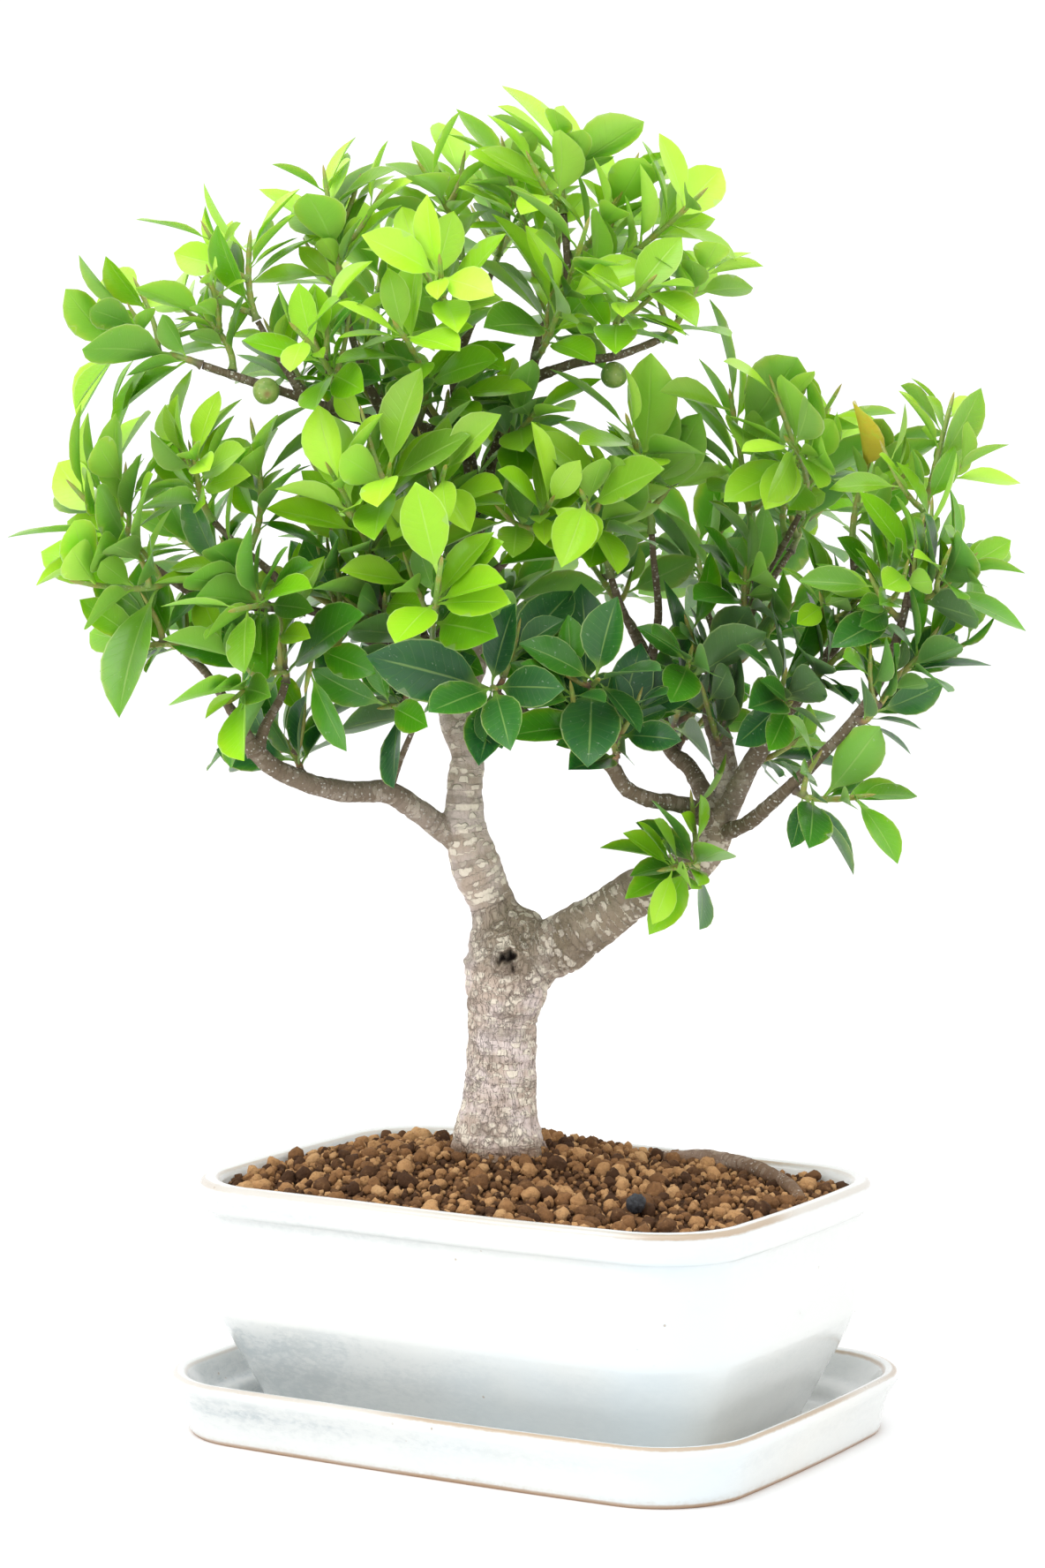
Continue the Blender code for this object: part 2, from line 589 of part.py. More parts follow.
def leaf_hull(base, rings, tip, gap):
    """Closed shape a gap larger than a leaf, for testing what it would touch."""
    stalk = sum(rings[0], Vector()) / 4
    root = base + (stalk - base) * 0.3
    rings = [[root + (p - stalk) * 0.6 for p in rings[0]], *rings]
    points = []
    for ring in rings:
        middle = sum(ring, Vector()) / 4
        across = (ring[0] - ring[2]).normalized()
        up = (ring[1] - ring[3]).normalized()
        points += [ring[0] + across * gap + up * gap, ring[2] - across * gap + up * gap,
                   ring[2] - across * gap - up * gap, ring[0] + across * gap - up * gap,
                   middle + up * gap, middle - up * gap]
    ahead = (tip - rings[-1][1]).normalized()
    points.append(tip + ahead * gap)
    faces = []
    edges = ((0, 4), (4, 1), (1, 2), (2, 5), (5, 3), (3, 0))
    last = 6 * (len(rings) - 1)
    for k in range(0, last, 6):
        faces += [(k + a, k + b, k + b + 6, k + a + 6) for a, b in edges]
    faces += [(last + a, last + b, last + 6) for a, b in edges]
    return BVHTree.FromPolygons(points, faces)


def stem_rings(start, out, end, leaves, rng):
    """Square cross-sections of a shoot's stem: two close together at every leaf."""
    reach = (end - start).length
    mid = start + out * (reach * 0.3) + Vector((0, 0, reach * 0.06))
    stops = [0.0]
    for k in range(leaves):
        at = 0.22 + 0.70 * k / max(1, leaves - 1)
        half = 0.0010 / reach
        stops += [at - half, at + half]
    rings = []
    side = None
    for t in stops:
        centre = start * (1 - t) ** 2 + mid * 2 * t * (1 - t) + end * t * t
        ahead = ((mid - start) * (1 - t) + (end - mid) * t).normalized()
        if side is None:
            side = ahead.orthogonal().normalized()
        side = (side - ahead * side.dot(ahead)).normalized()
        turn = Matrix.Rotation(rng.uniform(0.25, 0.45), 3, ahead) if t else Matrix.Identity(3)
        side = turn @ side
        other = ahead.cross(side)
        radius = STEM_RADIUS * (1.25 - 0.45 * t)
        rings.append([centre + side * radius, centre + other * radius,
                      centre - side * radius, centre - other * radius])
    return rings, end + ahead * 0.004


def stem_tree(rings, tip, gap):
    """Closed shape a gap larger than a stem."""
    points = []
    for ring in rings:
        middle = sum(ring, Vector()) / 4
        points += [middle + (p - middle) * (1 + gap * 1.5 / (p - middle).length) for p in ring]
    points.append(tip + (tip - sum(rings[-1], Vector()) / 4).normalized() * gap)
    faces = []
    for k in range(len(rings) - 1):
        for i in range(4):
            j = (i + 1) % 4
            faces.append((4 * k + i, 4 * k + j, 4 * k + 4 + j, 4 * k + 4 + i))
    last = 4 * (len(rings) - 1)
    faces += [(last + i, last + (i + 1) % 4, last + 4) for i in range(4)]
    return BVHTree.FromPolygons(points, faces)


def facing(base, heart):
    """The way a leaf turns its upper face: up and out of the crown."""
    out = base - heart
    out.z = max(0.0, out.z) * 0.5
    return (out.normalized() * 0.85 + Vector((0, 0, 0.65))).normalized()


def reach_of(centre, points):
    """How far a shape reaches from its centre."""
    return max((p - centre).length for p in points)


def place_leaf(ring_a, ring_b, azimuth, length, heart, blocked, own, rng):
    """Find a pose for one leaf that touches nothing; None when there is no room."""
    low = sum(ring_a, Vector()) / 4
    high = sum(ring_b, Vector()) / 4
    axis = (high - low).normalized()
    radial0 = (ring_a[0] - low).normalized()
    for attempt in range(14):
        angle = azimuth + rng.uniform(-0.35, 0.35) * (1 + attempt / 4)
        radial = Matrix.Rotation(angle, 3, axis) @ radial0
        spread = rng.uniform(0.75, 1.15)
        ahead = (axis * math.cos(spread) + radial * math.sin(spread)).normalized()
        ahead = (ahead + Vector((0, 0, rng.uniform(-0.25, 0.10)))).normalized()
        face = facing(low, heart) + Vector((rng.uniform(-1, 1), rng.uniform(-1, 1), rng.uniform(-1, 1))) * 0.30
        face = face - ahead * face.dot(ahead)
        if face.length < 0.2:
            continue
        size = length * rng.uniform(0.98, 1.28) * (1 - 0.035 * attempt)
        best = max(range(4), key=lambda i: (ring_a[i] + ring_a[(i + 1) % 4] - low * 2).dot(radial))
        base = (ring_a[best] + ring_a[(best + 1) % 4] + ring_b[best] + ring_b[(best + 1) % 4]) / 4
        rings, tip = leaf_rings(base, ahead, face.normalized(), size)
        hull = leaf_hull(base, rings, tip, LEAF_GAP)
        middle = base + ahead * size * 0.6
        reach = size * 0.7
        near = [other for spot, far, other in blocked if (spot - middle).length < far + reach]
        if any(hull.overlap(other) for other in (*near, *own)):
            continue
        return best, rings, tip, (middle, reach, hull)
    return None


def build_shoot(row, stem, blocked, collection, material):
    """One shoot: a green stem with its leaves, grown as one body.  Returns the room its leaves take."""
    name, near, _, leaves, length = row
    rng = random.Random(SEED + sum(ord(letter) * (k + 3) for k, letter in enumerate(name)))
    rings, bud = stem
    own = [stem_tree(rings, bud, 0.0)]
    heart = tree((0, 15, 330))
    if near[0] < 20 and near[2] > 380:
        heart = tree((-20, 20, 400))
    taken = {}
    room = []
    azimuth = rng.uniform(0, 2 * math.pi)
    for k in reversed(range(leaves)):
        azimuth += math.radians(137.5)
        a, b = 1 + 2 * k, 2 + 2 * k
        share = 1.0 if k < leaves - 2 else 0.86
        spot = place_leaf(rings[a], rings[b], azimuth, length * MM * share, heart, blocked, own, rng)
        if spot is None:
            continue
        side, blade, tip, hull = spot
        taken[k] = (side, blade, tip)
        own.append(hull[2])
        room.append(hull)
    bm = bmesh.new()
    rows = [[bm.verts.new(p) for p in ring] for ring in rings]
    for k in range(len(rows) - 1):
        low, high = rows[k], rows[k + 1]
        leaf = taken.get((k - 1) // 2) if k % 2 else None
        for i in range(4):
            j = (i + 1) % 4
            if leaf and leaf[0] == i:
                grow_leaf(bm, (low[i], low[j], high[j], high[i]), leaf[1], leaf[2])
            else:
                bm.faces.new((low[i], low[j], high[j], high[i]))
    bm.faces.new(list(reversed(rows[0])))
    point = bm.verts.new(bud)
    for i in range(4):
        bm.faces.new((rows[-1][i], rows[-1][(i + 1) % 4], point))
    new_object("shoot_" + name, bm, collection, material)
    return room


def grow_leaf(bm, root, blade, tip):
    """Carry the leaf's sections out of one side of the stem, matched corner to corner."""
    first = [bm.verts.new(p) for p in blade[0]]
    flips = []
    for order in (first, list(reversed(first))):
        for shift in range(4):
            turned = order[shift:] + order[:shift]
            flips.append((sum((r.co - v.co).length for r, v in zip(root, turned)), order is first, shift))
    _, forward, shift = min(flips)

    def match(ring):
        ring = ring if forward else list(reversed(ring))
        return ring[shift:] + ring[:shift]

    rows = [list(root), match(first)]
    rows += [match([bm.verts.new(p) for p in ring]) for ring in blade[1:]]
    for low, high in zip(rows, rows[1:]):
        for i in range(4):
            j = (i + 1) % 4
            bm.faces.new((low[i], low[j], high[j], high[i]))
    point = bm.verts.new(tip)
    for i in range(4):
        bm.faces.new((rows[-1][i], rows[-1][(i + 1) % 4], point))


def build_shoots(collection, material, figs):
    """Set out every stem first, then give each its leaves where there is room."""
    lines = wood_lines()
    blocked = []
    for a, b, ra, rb, _ in lines:
        radius = max(ra, rb) + LEAF_GAP
        blocked.append(((a + b) / 2, (b - a).length / 2 + 1.5 * radius, cylinder_tree(a, b, radius)))
    for spot in figs:
        pole = Vector((0, 0, FIG_RADIUS + LEAF_GAP))
        blocked.append((spot, 2 * pole.z, cylinder_tree(spot - pole, spot + pole, pole.z)))
    stems = {}
    rooms = {}
    for name, near, end, leaves, _ in SHOOTS:
        rng = random.Random(SEED + len(name) + sum(ord(letter) for letter in name))
        start, out = seat_on_wood(tree(near), tree(end), lines)
        rings, bud = stem_rings(start, out, tree(end), leaves, rng)
        stems[name] = (rings, bud)
        centre = (start + bud) / 2
        reach = reach_of(centre, [p for ring in rings for p in ring] + [bud]) + LEAF_GAP
        rooms[name] = (centre, reach, stem_tree(rings, bud, LEAF_GAP))
    for row in SHOOTS:
        others = [room for name, room in rooms.items() if name != row[0]]
        blocked += build_shoot(row, stems[row[0]], blocked + others, collection, material)


def cylinder_tree(a, b, radius):
    """Plain eight-sided stand-in for a piece of limb."""
    ahead = (b - a).normalized()
    side = ahead.orthogonal().normalized()
    other = ahead.cross(side)
    points = []
    for centre in (a, b):
        for i in range(8):
            angle = math.pi * i / 4
            points.append(centre + (side * math.cos(angle) + other * math.sin(angle)) * radius * 1.05)
    faces = [(i, (i + 1) % 8, 8 + (i + 1) % 8, 8 + i) for i in range(8)]
    faces += [tuple(range(7, -1, -1)), tuple(range(8, 16))]
    return BVHTree.FromPolygons(points, faces)


def build_fig(name, spot, collection, material):
    bm = bmesh.new()
    bmesh.ops.create_uvsphere(bm, u_segments=10, v_segments=7, radius=FIG_RADIUS,
                              matrix=Matrix.Translation(spot))
    return new_object("fig_" + name, bm, collection, material)


# ---------------------------------------------------------------- assembly

def main():
    clear_scene()
    parts = new_collection("bonsai_tree_in_pot")
    tools = new_collection("construction")
    glaze = new_material("white_glaze", (0.86, 0.86, 0.83), 0.15)
    earth = new_material("clay_grit", (0.30, 0.16, 0.08), 0.95)
    bark = new_material("bark", (0.36, 0.29, 0.22), 0.85)
    leaf = new_material("leaf", (0.22, 0.48, 0.08), 0.35)
    fig = new_material("fig_skin", (0.35, 0.50, 0.14), 0.5)
    char = new_material("charred_grit", (0.03, 0.03, 0.035), 0.8)
    screen = new_material("screen_plastic", (0.05, 0.05, 0.05), 0.6)
    wire = new_material("wire_aluminium", (0.65, 0.62, 0.58), 0.35, 1.0)
    build_pot(parts, glaze, tools)
    build_tray(parts, glaze)
    soil = build_soil(parts, earth, tools)
    for side, x in (("left", -DRAIN_SPACING / 2), ("right", DRAIN_SPACING / 2)):
        build_screen("drain_screen_" + side, x, parts, screen)
        build_clip("screen_wire_" + side, x, parts, wire)
    build_char(parts, char, soil)
    build_wood(parts, bark, tools)
    lines = wood_lines()
    figs = []
    for name, near in FIGS:
        start, out = seat_on_wood(tree(near), tree(near), lines)
        spot = start + out * FIG_RADIUS
        figs.append(spot)
        build_fig(name, spot, parts, fig)
    build_shoots(parts, leaf, figs)


main()
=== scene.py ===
"""Looks for the bonsai fig in its glazed pot: bark, leafy shoots, clay grit, glaze, and a pale studio stage.

Metres, +Z up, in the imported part's own frame.  The tree is laid out in millimetres on its display front,
which is turned from the pot's: a tree point is (across to the right, away from the front, height).
"""

import json
import math
import random

import bmesh
import bpy
import numpy as np
from bpy.props import FloatProperty, FloatVectorProperty, IntProperty, PointerProperty
from mathutils import Matrix, Vector, noise
from mathutils.bvhtree import BVHTree
from mathutils.kdtree import KDTree

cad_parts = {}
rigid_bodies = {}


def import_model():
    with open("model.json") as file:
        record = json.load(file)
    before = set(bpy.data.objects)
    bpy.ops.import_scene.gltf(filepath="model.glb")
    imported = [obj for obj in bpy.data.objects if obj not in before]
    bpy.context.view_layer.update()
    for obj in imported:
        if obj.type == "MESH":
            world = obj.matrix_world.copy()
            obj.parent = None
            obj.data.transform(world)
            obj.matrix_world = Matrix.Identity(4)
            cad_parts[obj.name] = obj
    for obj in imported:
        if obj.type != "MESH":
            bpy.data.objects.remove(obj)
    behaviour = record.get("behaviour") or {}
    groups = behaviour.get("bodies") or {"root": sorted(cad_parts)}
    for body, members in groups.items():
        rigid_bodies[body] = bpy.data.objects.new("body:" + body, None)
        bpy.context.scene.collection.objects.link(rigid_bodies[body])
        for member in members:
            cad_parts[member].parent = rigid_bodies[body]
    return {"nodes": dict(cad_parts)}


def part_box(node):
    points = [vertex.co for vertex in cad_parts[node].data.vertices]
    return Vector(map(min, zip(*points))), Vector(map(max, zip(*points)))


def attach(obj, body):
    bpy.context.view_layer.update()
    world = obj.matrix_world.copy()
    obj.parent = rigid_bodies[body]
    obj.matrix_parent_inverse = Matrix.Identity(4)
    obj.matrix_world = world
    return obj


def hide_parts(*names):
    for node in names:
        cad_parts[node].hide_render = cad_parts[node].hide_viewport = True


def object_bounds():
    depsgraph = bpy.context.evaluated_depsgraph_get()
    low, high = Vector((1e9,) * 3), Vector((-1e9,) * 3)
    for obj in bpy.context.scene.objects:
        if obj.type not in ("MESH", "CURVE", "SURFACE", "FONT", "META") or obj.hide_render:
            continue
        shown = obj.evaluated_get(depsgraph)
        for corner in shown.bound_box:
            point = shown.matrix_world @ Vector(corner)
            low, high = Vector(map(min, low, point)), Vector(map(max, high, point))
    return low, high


bl_info = {
    "name": "Bonsai in a pot",
    "version": (1, 0, 0),
    "blender": (4, 5, 0),
    "location": "3D View > Sidebar > Bonsai",
    "description": "Builds the finished look of a potted bonsai around its packed frame",
    "category": "Object",
}

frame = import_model()
CAD_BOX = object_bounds()

MM = 0.001
FRONT_TURN = 30.7
ROOT_BODY = "root"
SEED = 41

# Wood and leaves, metres: LIMB_STEP and FINE_STEP are the steps along a centre line, and limbs from SKIN_LIMB
# in radius share one skin of bark
SEAT = 0.0003
LIMB_STEP = 0.012
FINE_STEP = 0.003
SKIN_LIMB = 0.0045
ROOT_SINK = 0.0022
STEM_RADIUS = 0.00085
LEAF_THICK = 0.00055
LEAF_GAP = 0.0005
TIGHT_GAP = 0.0001
FRAME_SLACK = 0.006

# How far a leaf's point lies past its length, how far the point droops, and the turn from leaf to leaf on a stem
LEAF_REACH = 1.18
LEAF_DROOP = 0.17
GOLDEN_ANGLE = math.radians(137.5)
LEAF_KINDS = 6
LUMP_KINDS = 6

# Middles of the crown that the leaves face away from, millimetres
CROWN_HEART = (0, 15, 330)
TOP_HEART = (-20, 20, 400)

# Pot, tray and soil, metres
POT_HALF = (0.118, 0.082)
POT_BOW = 0.0034
POT_TOP = 0.1014
POT_BASE = 0.0053
POT_INSIDE = 0.0133
TRAY_MARGIN = (0.008, 0.011)
DRAIN_X = 0.045
DRAIN_RADIUS = 0.008
SOIL_EDGE = 0.0045
SOIL_MOUND = 0.0110
MOUND_REACH = 0.070

# Corner radius at the rim, how fast it tightens inwards, and the least it comes to
POT_CORNER = (0.031, 0.45, 0.012)
TRAY_CORNER = (0.034, 0.35, 0.015)

# Points round a corner of the ware, steps along its side, and the longest step between its levels
CORNER_POINTS = 12
SIDE_STEPS = 7
LEVEL_STEP = 0.004

# Trunk from the buried root collar to the upper fork: (point, radius), millimetres
TRUNK = (
    ((-14, 29, 84), 13.0), ((-14, 28, 98), 20.5), ((-14, 28, 111), 19.0), ((-14, 28, 121), 16.4),
    ((-14, 28, 137), 14.7), ((-13, 28, 159), 14.2), ((-11, 28, 174), 17.0), ((-9, 28, 184), 19.6),
    ((-12, 28, 194), 15.8), ((-16, 28, 203), 9.4), ((-20, 27, 213), 9.2), ((-24, 26, 222), 9.7),
    ((-28, 25, 237), 8.3), ((-28, 24, 254), 7.3), ((-27, 24, 267), 6.7), ((-31, 24, 279), 6.4),
    ((-33, 24, 290), 6.2), ((-31, 25, 296), 5.4),
)

# Surface root after it leaves the collar: shares of the pot's half-length and half-width, and the
# height above the soil in millimetres
ROOT_SIZES = (7.0, 2.6)
ROOT_RUN = ((-0.10, 0.54, -10), (0.10, 0.72, -4), (0.30, 0.84, 3), (0.50, 0.80, 4), (0.66, 0.67, 4),
            (0.79, 0.50, 3.5), (0.86, 0.40, 0.5))

# Limbs and twigs: name, (radius at the root, radius at the end), points in millimetres
LIMBS = (
    ("left", (4.8, 2.2), ((-33, 24, 286), (-42, 16, 300), (-55, 6, 308), (-65, 0, 315), (-76, -6, 322),
                          (-89, -12, 326))),
    ("leader", (5.6, 1.6), ((-33, 24, 288), (-25, 26, 298), (-23, 28, 313), (-24, 30, 334), (-24, 30, 366),
                            (-27, 28, 387), (-30, 26, 401), (-32, 24, 418), (-30, 22, 439),
                            (-29, 20, 461))),
    ("crown_right", (3.2, 1.4), ((-24, 30, 366), (-14, 26, 390), (-2, 20, 415), (2, 16, 432),
                                 (12, 10, 452), (11, 6, 479))),
    ("crown_spur", (2.2, 1.4), ((-2, 20, 415), (15, 8, 421), (32, -2, 424), (48, -8, 430))),
    ("crown_left", (3.2, 1.5), ((-27, 28, 387), (-40, 18, 394), (-57, 8, 397), (-74, 0, 401),
                                (-89, -6, 407), (-110, -12, 414), (-128, -16, 420))),
    ("low_left", (5.4, 3.6), ((-28, 25, 230), (-37, 22, 237), (-49, 14, 247), (-58, 8, 253),
                              (-74, -2, 254), (-90, -12, 259), (-103, -18, 266), (-109, -20, 273))),
    ("right", (13.0, 6.4), ((-8, 28, 184), (6, 24, 188), (17, 20, 196), (29, 17, 204), (40, 14, 212),
                            (49, 12, 217), (59, 10, 222), (66, 9, 227), (71, 8, 236), (73, 8, 245))),
    ("right_left", (4.0, 2.2), ((72, 8, 238), (62, 0, 247), (53, -6, 250), (44, -12, 252), (35, -16, 257),
                                (29, -18, 266), (18, -20, 273), (11, -22, 277), (-4, -24, 286),
                                (-11, -25, 291))),
    ("right_back", (4.2, 2.0), ((72, 8, 243), (66, 13, 253), (61, 18, 262), (54, 24, 268), (51, 30, 278),
                                (49, 34, 290), (45, 38, 306))),
    ("right_middle", (6.0, 1.9), ((73, 8, 241), (76, 10, 253), (74, 14, 270), (70, 18, 284), (73, 20, 296),
                                  (76, 22, 305), (84, 26, 321), (89, 28, 338), (86, 28, 355))),
    ("right_outer", (4.8, 1.8), ((73, 8, 239), (84, 0, 264), (99, -6, 287), (107, -8, 298),
                                 (119, -12, 317), (124, -13, 334), (123, -11, 351))),
    ("right_low", (3.2, 1.4), ((72, 7, 236), (84, -8, 243), (92, -16, 251), (107, -28, 267),
                               (123, -36, 286), (133, -40, 303), (140, -42, 324), (144, -40, 344),
                               (148, -34, 360))),
    ("top_left_twig", (1.9, 1.2), ((-30, 22, 439), (-44, 14, 453), (-52, 10, 462))),
    ("high_twig", (2.1, 1.3), ((-57, 8, 397), (-66, 2, 415), (-72, -4, 435), (-74, -5, 445))),
    ("shoulder_twig", (2.0, 1.2), ((-89, -6, 407), (-100, -12, 425), (-107, -13, 437))),
    ("left_end", (2.1, 1.4), ((-89, -12, 326), (-115, -16, 328), (-133, -20, 333), (-150, -22, 345))),
    ("left_up", (1.9, 1.3), ((-89, -12, 326), (-103, -16, 341), (-117, -18, 353), (-124, -18, 360))),
    ("left_back", (1.7, 1.2), ((-104, -14, 327), (-112, 2, 332), (-118, 12, 335))),
    ("front_up", (2.4, 1.4), ((-55, 6, 308), (-60, 0, 325), (-64, -4, 341), (-62, -8, 348))),
    ("front_middle", (2.4, 1.4), ((-42, 16, 300), (-37, 10, 318), (-38, 7, 340))),
    ("front_right", (2.2, 1.3), ((-24, 30, 334), (-13, 18, 342), (-6, 8, 349))),
    ("back_up", (2.4, 1.4), ((-34, 20, 292), (-48, 36, 320), (-61, 44, 338))),
    ("back_crown", (2.0, 1.3), ((-27, 28, 387), (-44, 34, 404), (-56, 38, 416))),
    ("back_top", (2.0, 1.2), ((-32, 24, 420), (-22, 34, 445), (-17, 40, 458))),
    ("low_fork", (2.6, 1.4), ((-108, -20, 271), (-115, -22, 283), (-119, -22, 290), (-127, -23, 302),
                              (-135, -22, 310))),
    ("low_fork_right", (2.3, 1.4), ((-108, -20, 271), (-104, -18, 282), (-99, -16, 291), (-97, -15, 297))),
    ("low_twig", (1.7, 1.1), ((-58, 8, 253), (-53, 6, 266), (-48, 4, 278))),
    ("low_middle", (1.8, 1.2), ((-63, 1, 313), (-71, -7, 316), (-75, -10, 319))),
    ("inner_middle", (1.9, 1.3), ((47, 36, 298), (39, 32, 314), (33, 26, 328), (30, 21, 337))),
    ("inner_up", (1.9, 1.3), ((46, 37, 302), (49, 30, 322), (47, 22, 342), (46, 20, 354))),
    ("inner_left", (1.8, 1.2), ((10, -22, 277), (14, -18, 284), (17, -15, 288))),
    ("inner_back", (1.8, 1.2), ((46, 37, 302), (40, 46, 315), (35, 50, 322))),
    ("right_up", (1.9, 1.3), ((88, 27, 334), (98, 19, 350), (104, 14, 362))),
    ("right_far", (1.9, 1.3), ((84, 26, 321), (94, 36, 335), (102, 44, 346))),
    ("right_rear", (2.0, 1.3), ((76, 22, 305), (71, 36, 316), (69, 45, 322))),
    ("under_spur", (2.0, 1.4), ((59, 10, 221), (62, 4, 222), (63, 1, 223))),
)

# Leafy shoots: name, where it leaves the wood, where it ends, leaves, leaf length in millimetres, youth
SHOOTS = (
    ("top_1", (11, 6, 480), (9, 0, 508), 5, 30, 0.95),
    ("top_2", (5, 10, 459), (-12, 8, 503), 7, 27, 0.80),
    ("top_3", (10, 8, 463), (38, 10, 497), 6, 28, 0.85),
    ("top_4", (13, 8, 452), (62, -15, 484), 8, 28, 0.85),
    ("top_5", (50, -8, 432), (65, -14, 458), 5, 24, 0.80),
    ("top_6", (0, 18, 425), (19, -30, 471), 7, 33, 0.60),
    ("top_7", (-16, 40, 460), (-2, 70, 482), 6, 27, 0.70),
    ("top_8", (32, -4, 424), (43, -45, 451), 6, 26, 0.50),
    ("high_1", (-29, 20, 463), (-43, 8, 495), 7, 26, 0.85),
    ("high_2", (-73, -4, 448), (-81, -6, 491), 7, 26, 0.75),
    ("high_3", (-31, 22, 425), (-36, -40, 458), 6, 27, 0.60),
    ("high_4", (-47, 12, 398), (-52, -42, 434), 7, 28, 0.45),
    ("high_5", (-56, 38, 418), (-59, 62, 472), 6, 27, 0.60),
    ("shoulder_1", (-108, -12, 439), (-110, -12, 466), 5, 26, 0.60),
    ("shoulder_2", (-117, -14, 417), (-140, -8, 449), 7, 25, 0.70),
    ("shoulder_3", (-129, -16, 420), (-165, -16, 425), 5, 30, 0.45),
    ("shoulder_4", (-80, -4, 403), (-90, -46, 433), 6, 26, 0.45),
    ("left_1", (-152, -22, 347), (-176, -24, 372), 4, 34, 0.90),
    ("left_2", (-142, -21, 338), (-172, -36, 337), 3, 36, 0.70),
    ("left_3", (-125, -18, 361), (-130, -30, 386), 7, 26, 0.85),
    ("left_4", (-112, -17, 348), (-109, -12, 394), 7, 27, 0.75),
    ("left_5", (-119, 13, 335), (-147, 46, 355), 7, 28, 0.50),
    ("front_1", (-70, -3, 318), (-77, -44, 379), 7, 33, 0.75),
    ("front_2", (-62, -8, 349), (-55, -52, 381), 7, 33, 0.70),
    ("front_3", (-38, 7, 341), (-34, -55, 381), 7, 31, 0.75),
    ("front_4", (-39, 12, 312), (-35, -80, 346), 5, 31, 0.55),
    ("front_5", (-104, -15, 327), (-113, -62, 328), 6, 28, 0.55),
    ("front_6", (-5, 7, 350), (6, -25, 368), 5, 27, 0.65),
    ("back_1", (-62, 45, 339), (-62, 85, 368), 7, 30, 0.50),
    ("low_1", (-136, -22, 311), (-152, -26, 312), 5, 30, 0.50),
    ("low_2", (-97, -15, 298), (-114, -45, 294), 5, 38, 0.45),
    ("low_3", (-75, -10, 319), (-87, -40, 300), 5, 30, 0.15),
    ("low_4", (-48, 4, 279), (-58, -28, 289), 5, 34, 0.05),
    ("inner_1", (-12, -26, 291), (-15, -54, 298), 5, 36, 0.00),
    ("inner_2", (17, -15, 289), (24, -48, 301), 5, 32, 0.05),
    ("inner_3", (30, 21, 338), (18, -30, 371), 8, 32, 0.60),
    ("inner_4", (46, 20, 355), (36, -14, 398), 8, 32, 0.70),
    ("inner_5", (53, 26, 270), (60, -20, 309), 5, 34, 0.05),
    ("back_2", (34, 51, 323), (12, 84, 354), 7, 30, 0.45),
    ("right_1", (86, 28, 357), (76, -4, 407), 8, 34, 0.80),
    ("right_2", (104, 14, 363), (97, -26, 391), 9, 28, 0.70),
    ("right_3", (100, 18, 353), (117, 12, 408), 8, 29, 0.80),
    ("right_4", (123, -11, 353), (132, -10, 391), 8, 28, 0.70),
    ("right_5", (148, -34, 362), (159, -24, 404), 7, 24, 0.75),
    ("right_6", (141, -42, 330), (163, -52, 345), 8, 28, 0.40),
    ("back_3", (103, 45, 347), (114, 90, 368), 7, 28, 0.50),
    ("back_4", (69, 46, 323), (67, 92, 354), 7, 30, 0.45),
    ("under_1", (64, 0, 223), (51, -24, 226), 8, 26, 0.60),
    ("under_2", (100, -22, 258), (125, -42, 256), 5, 27, 0.40),
)

# Leafy tufts on the inner wood that fill the crown: near, end, leaves, leaf length, youth
TUFTS = (
    ((123, -36, 286), (137, -44, 300), 5, 25, 0.15), ((133, -40, 303), (150, -46, 316), 5, 25, 0.25),
    ((140, -42, 324), (128, -52, 338), 5, 24, 0.45), ((99, -6, 287), (96, -24, 300), 5, 26, 0.05),
    ((107, -8, 298), (118, -24, 310), 5, 26, 0.15), ((119, -12, 317), (110, -30, 330), 5, 26, 0.40),
    ((124, -13, 334), (136, -10, 348), 5, 24, 0.50), ((74, 14, 270), (66, -6, 292), 5, 28, 0.0),
    ((73, 20, 296), (60, 2, 318), 5, 28, 0.15), ((84, 26, 321), (82, 4, 338), 6, 26, 0.35),
    ((76, 22, 305), (92, 30, 322), 5, 26, 0.30), ((29, -18, 266), (24, -34, 284), 5, 28, 0.0),
    ((11, -22, 277), (14, -40, 296), 5, 28, 0.05), ((54, 24, 268), (58, 44, 288), 5, 26, 0.20),
    ((84, 0, 264), (98, 10, 278), 5, 24, 0.20), ((-24, 30, 334), (-36, 44, 350), 5, 26, 0.30),
    ((-24, 30, 366), (-8, 44, 384), 5, 26, 0.40), ((-23, 28, 313), (-10, 40, 330), 5, 26, 0.20),
    ((-55, 6, 308), (-60, 24, 322), 5, 26, 0.30), ((-76, -6, 322), (-84, 12, 338), 5, 26, 0.40),
    ((-57, 8, 397), (-60, 26, 412), 5, 24, 0.50), ((2, 16, 432), (16, 30, 444), 5, 24, 0.60),
    ((-89, -6, 407), (-96, 12, 422), 5, 24, 0.55), ((-90, -12, 259), (-100, 4, 276), 5, 26, 0.10),
    ((-24, 30, 350), (-40, 10, 366), 5, 26, 0.30), ((-65, 0, 315), (-58, -22, 330), 5, 26, 0.20),
    ((-14, 26, 390), (0, 2, 402), 5, 26, 0.35), ((-40, 18, 394), (-34, -2, 408), 5, 26, 0.45),
)

# Green figs on the twigs, millimetres
FIGS = (("left", (-104, -15, 411)), ("right", (30, 0, 419)))


# ---------------------------------------------------------------- node wiring

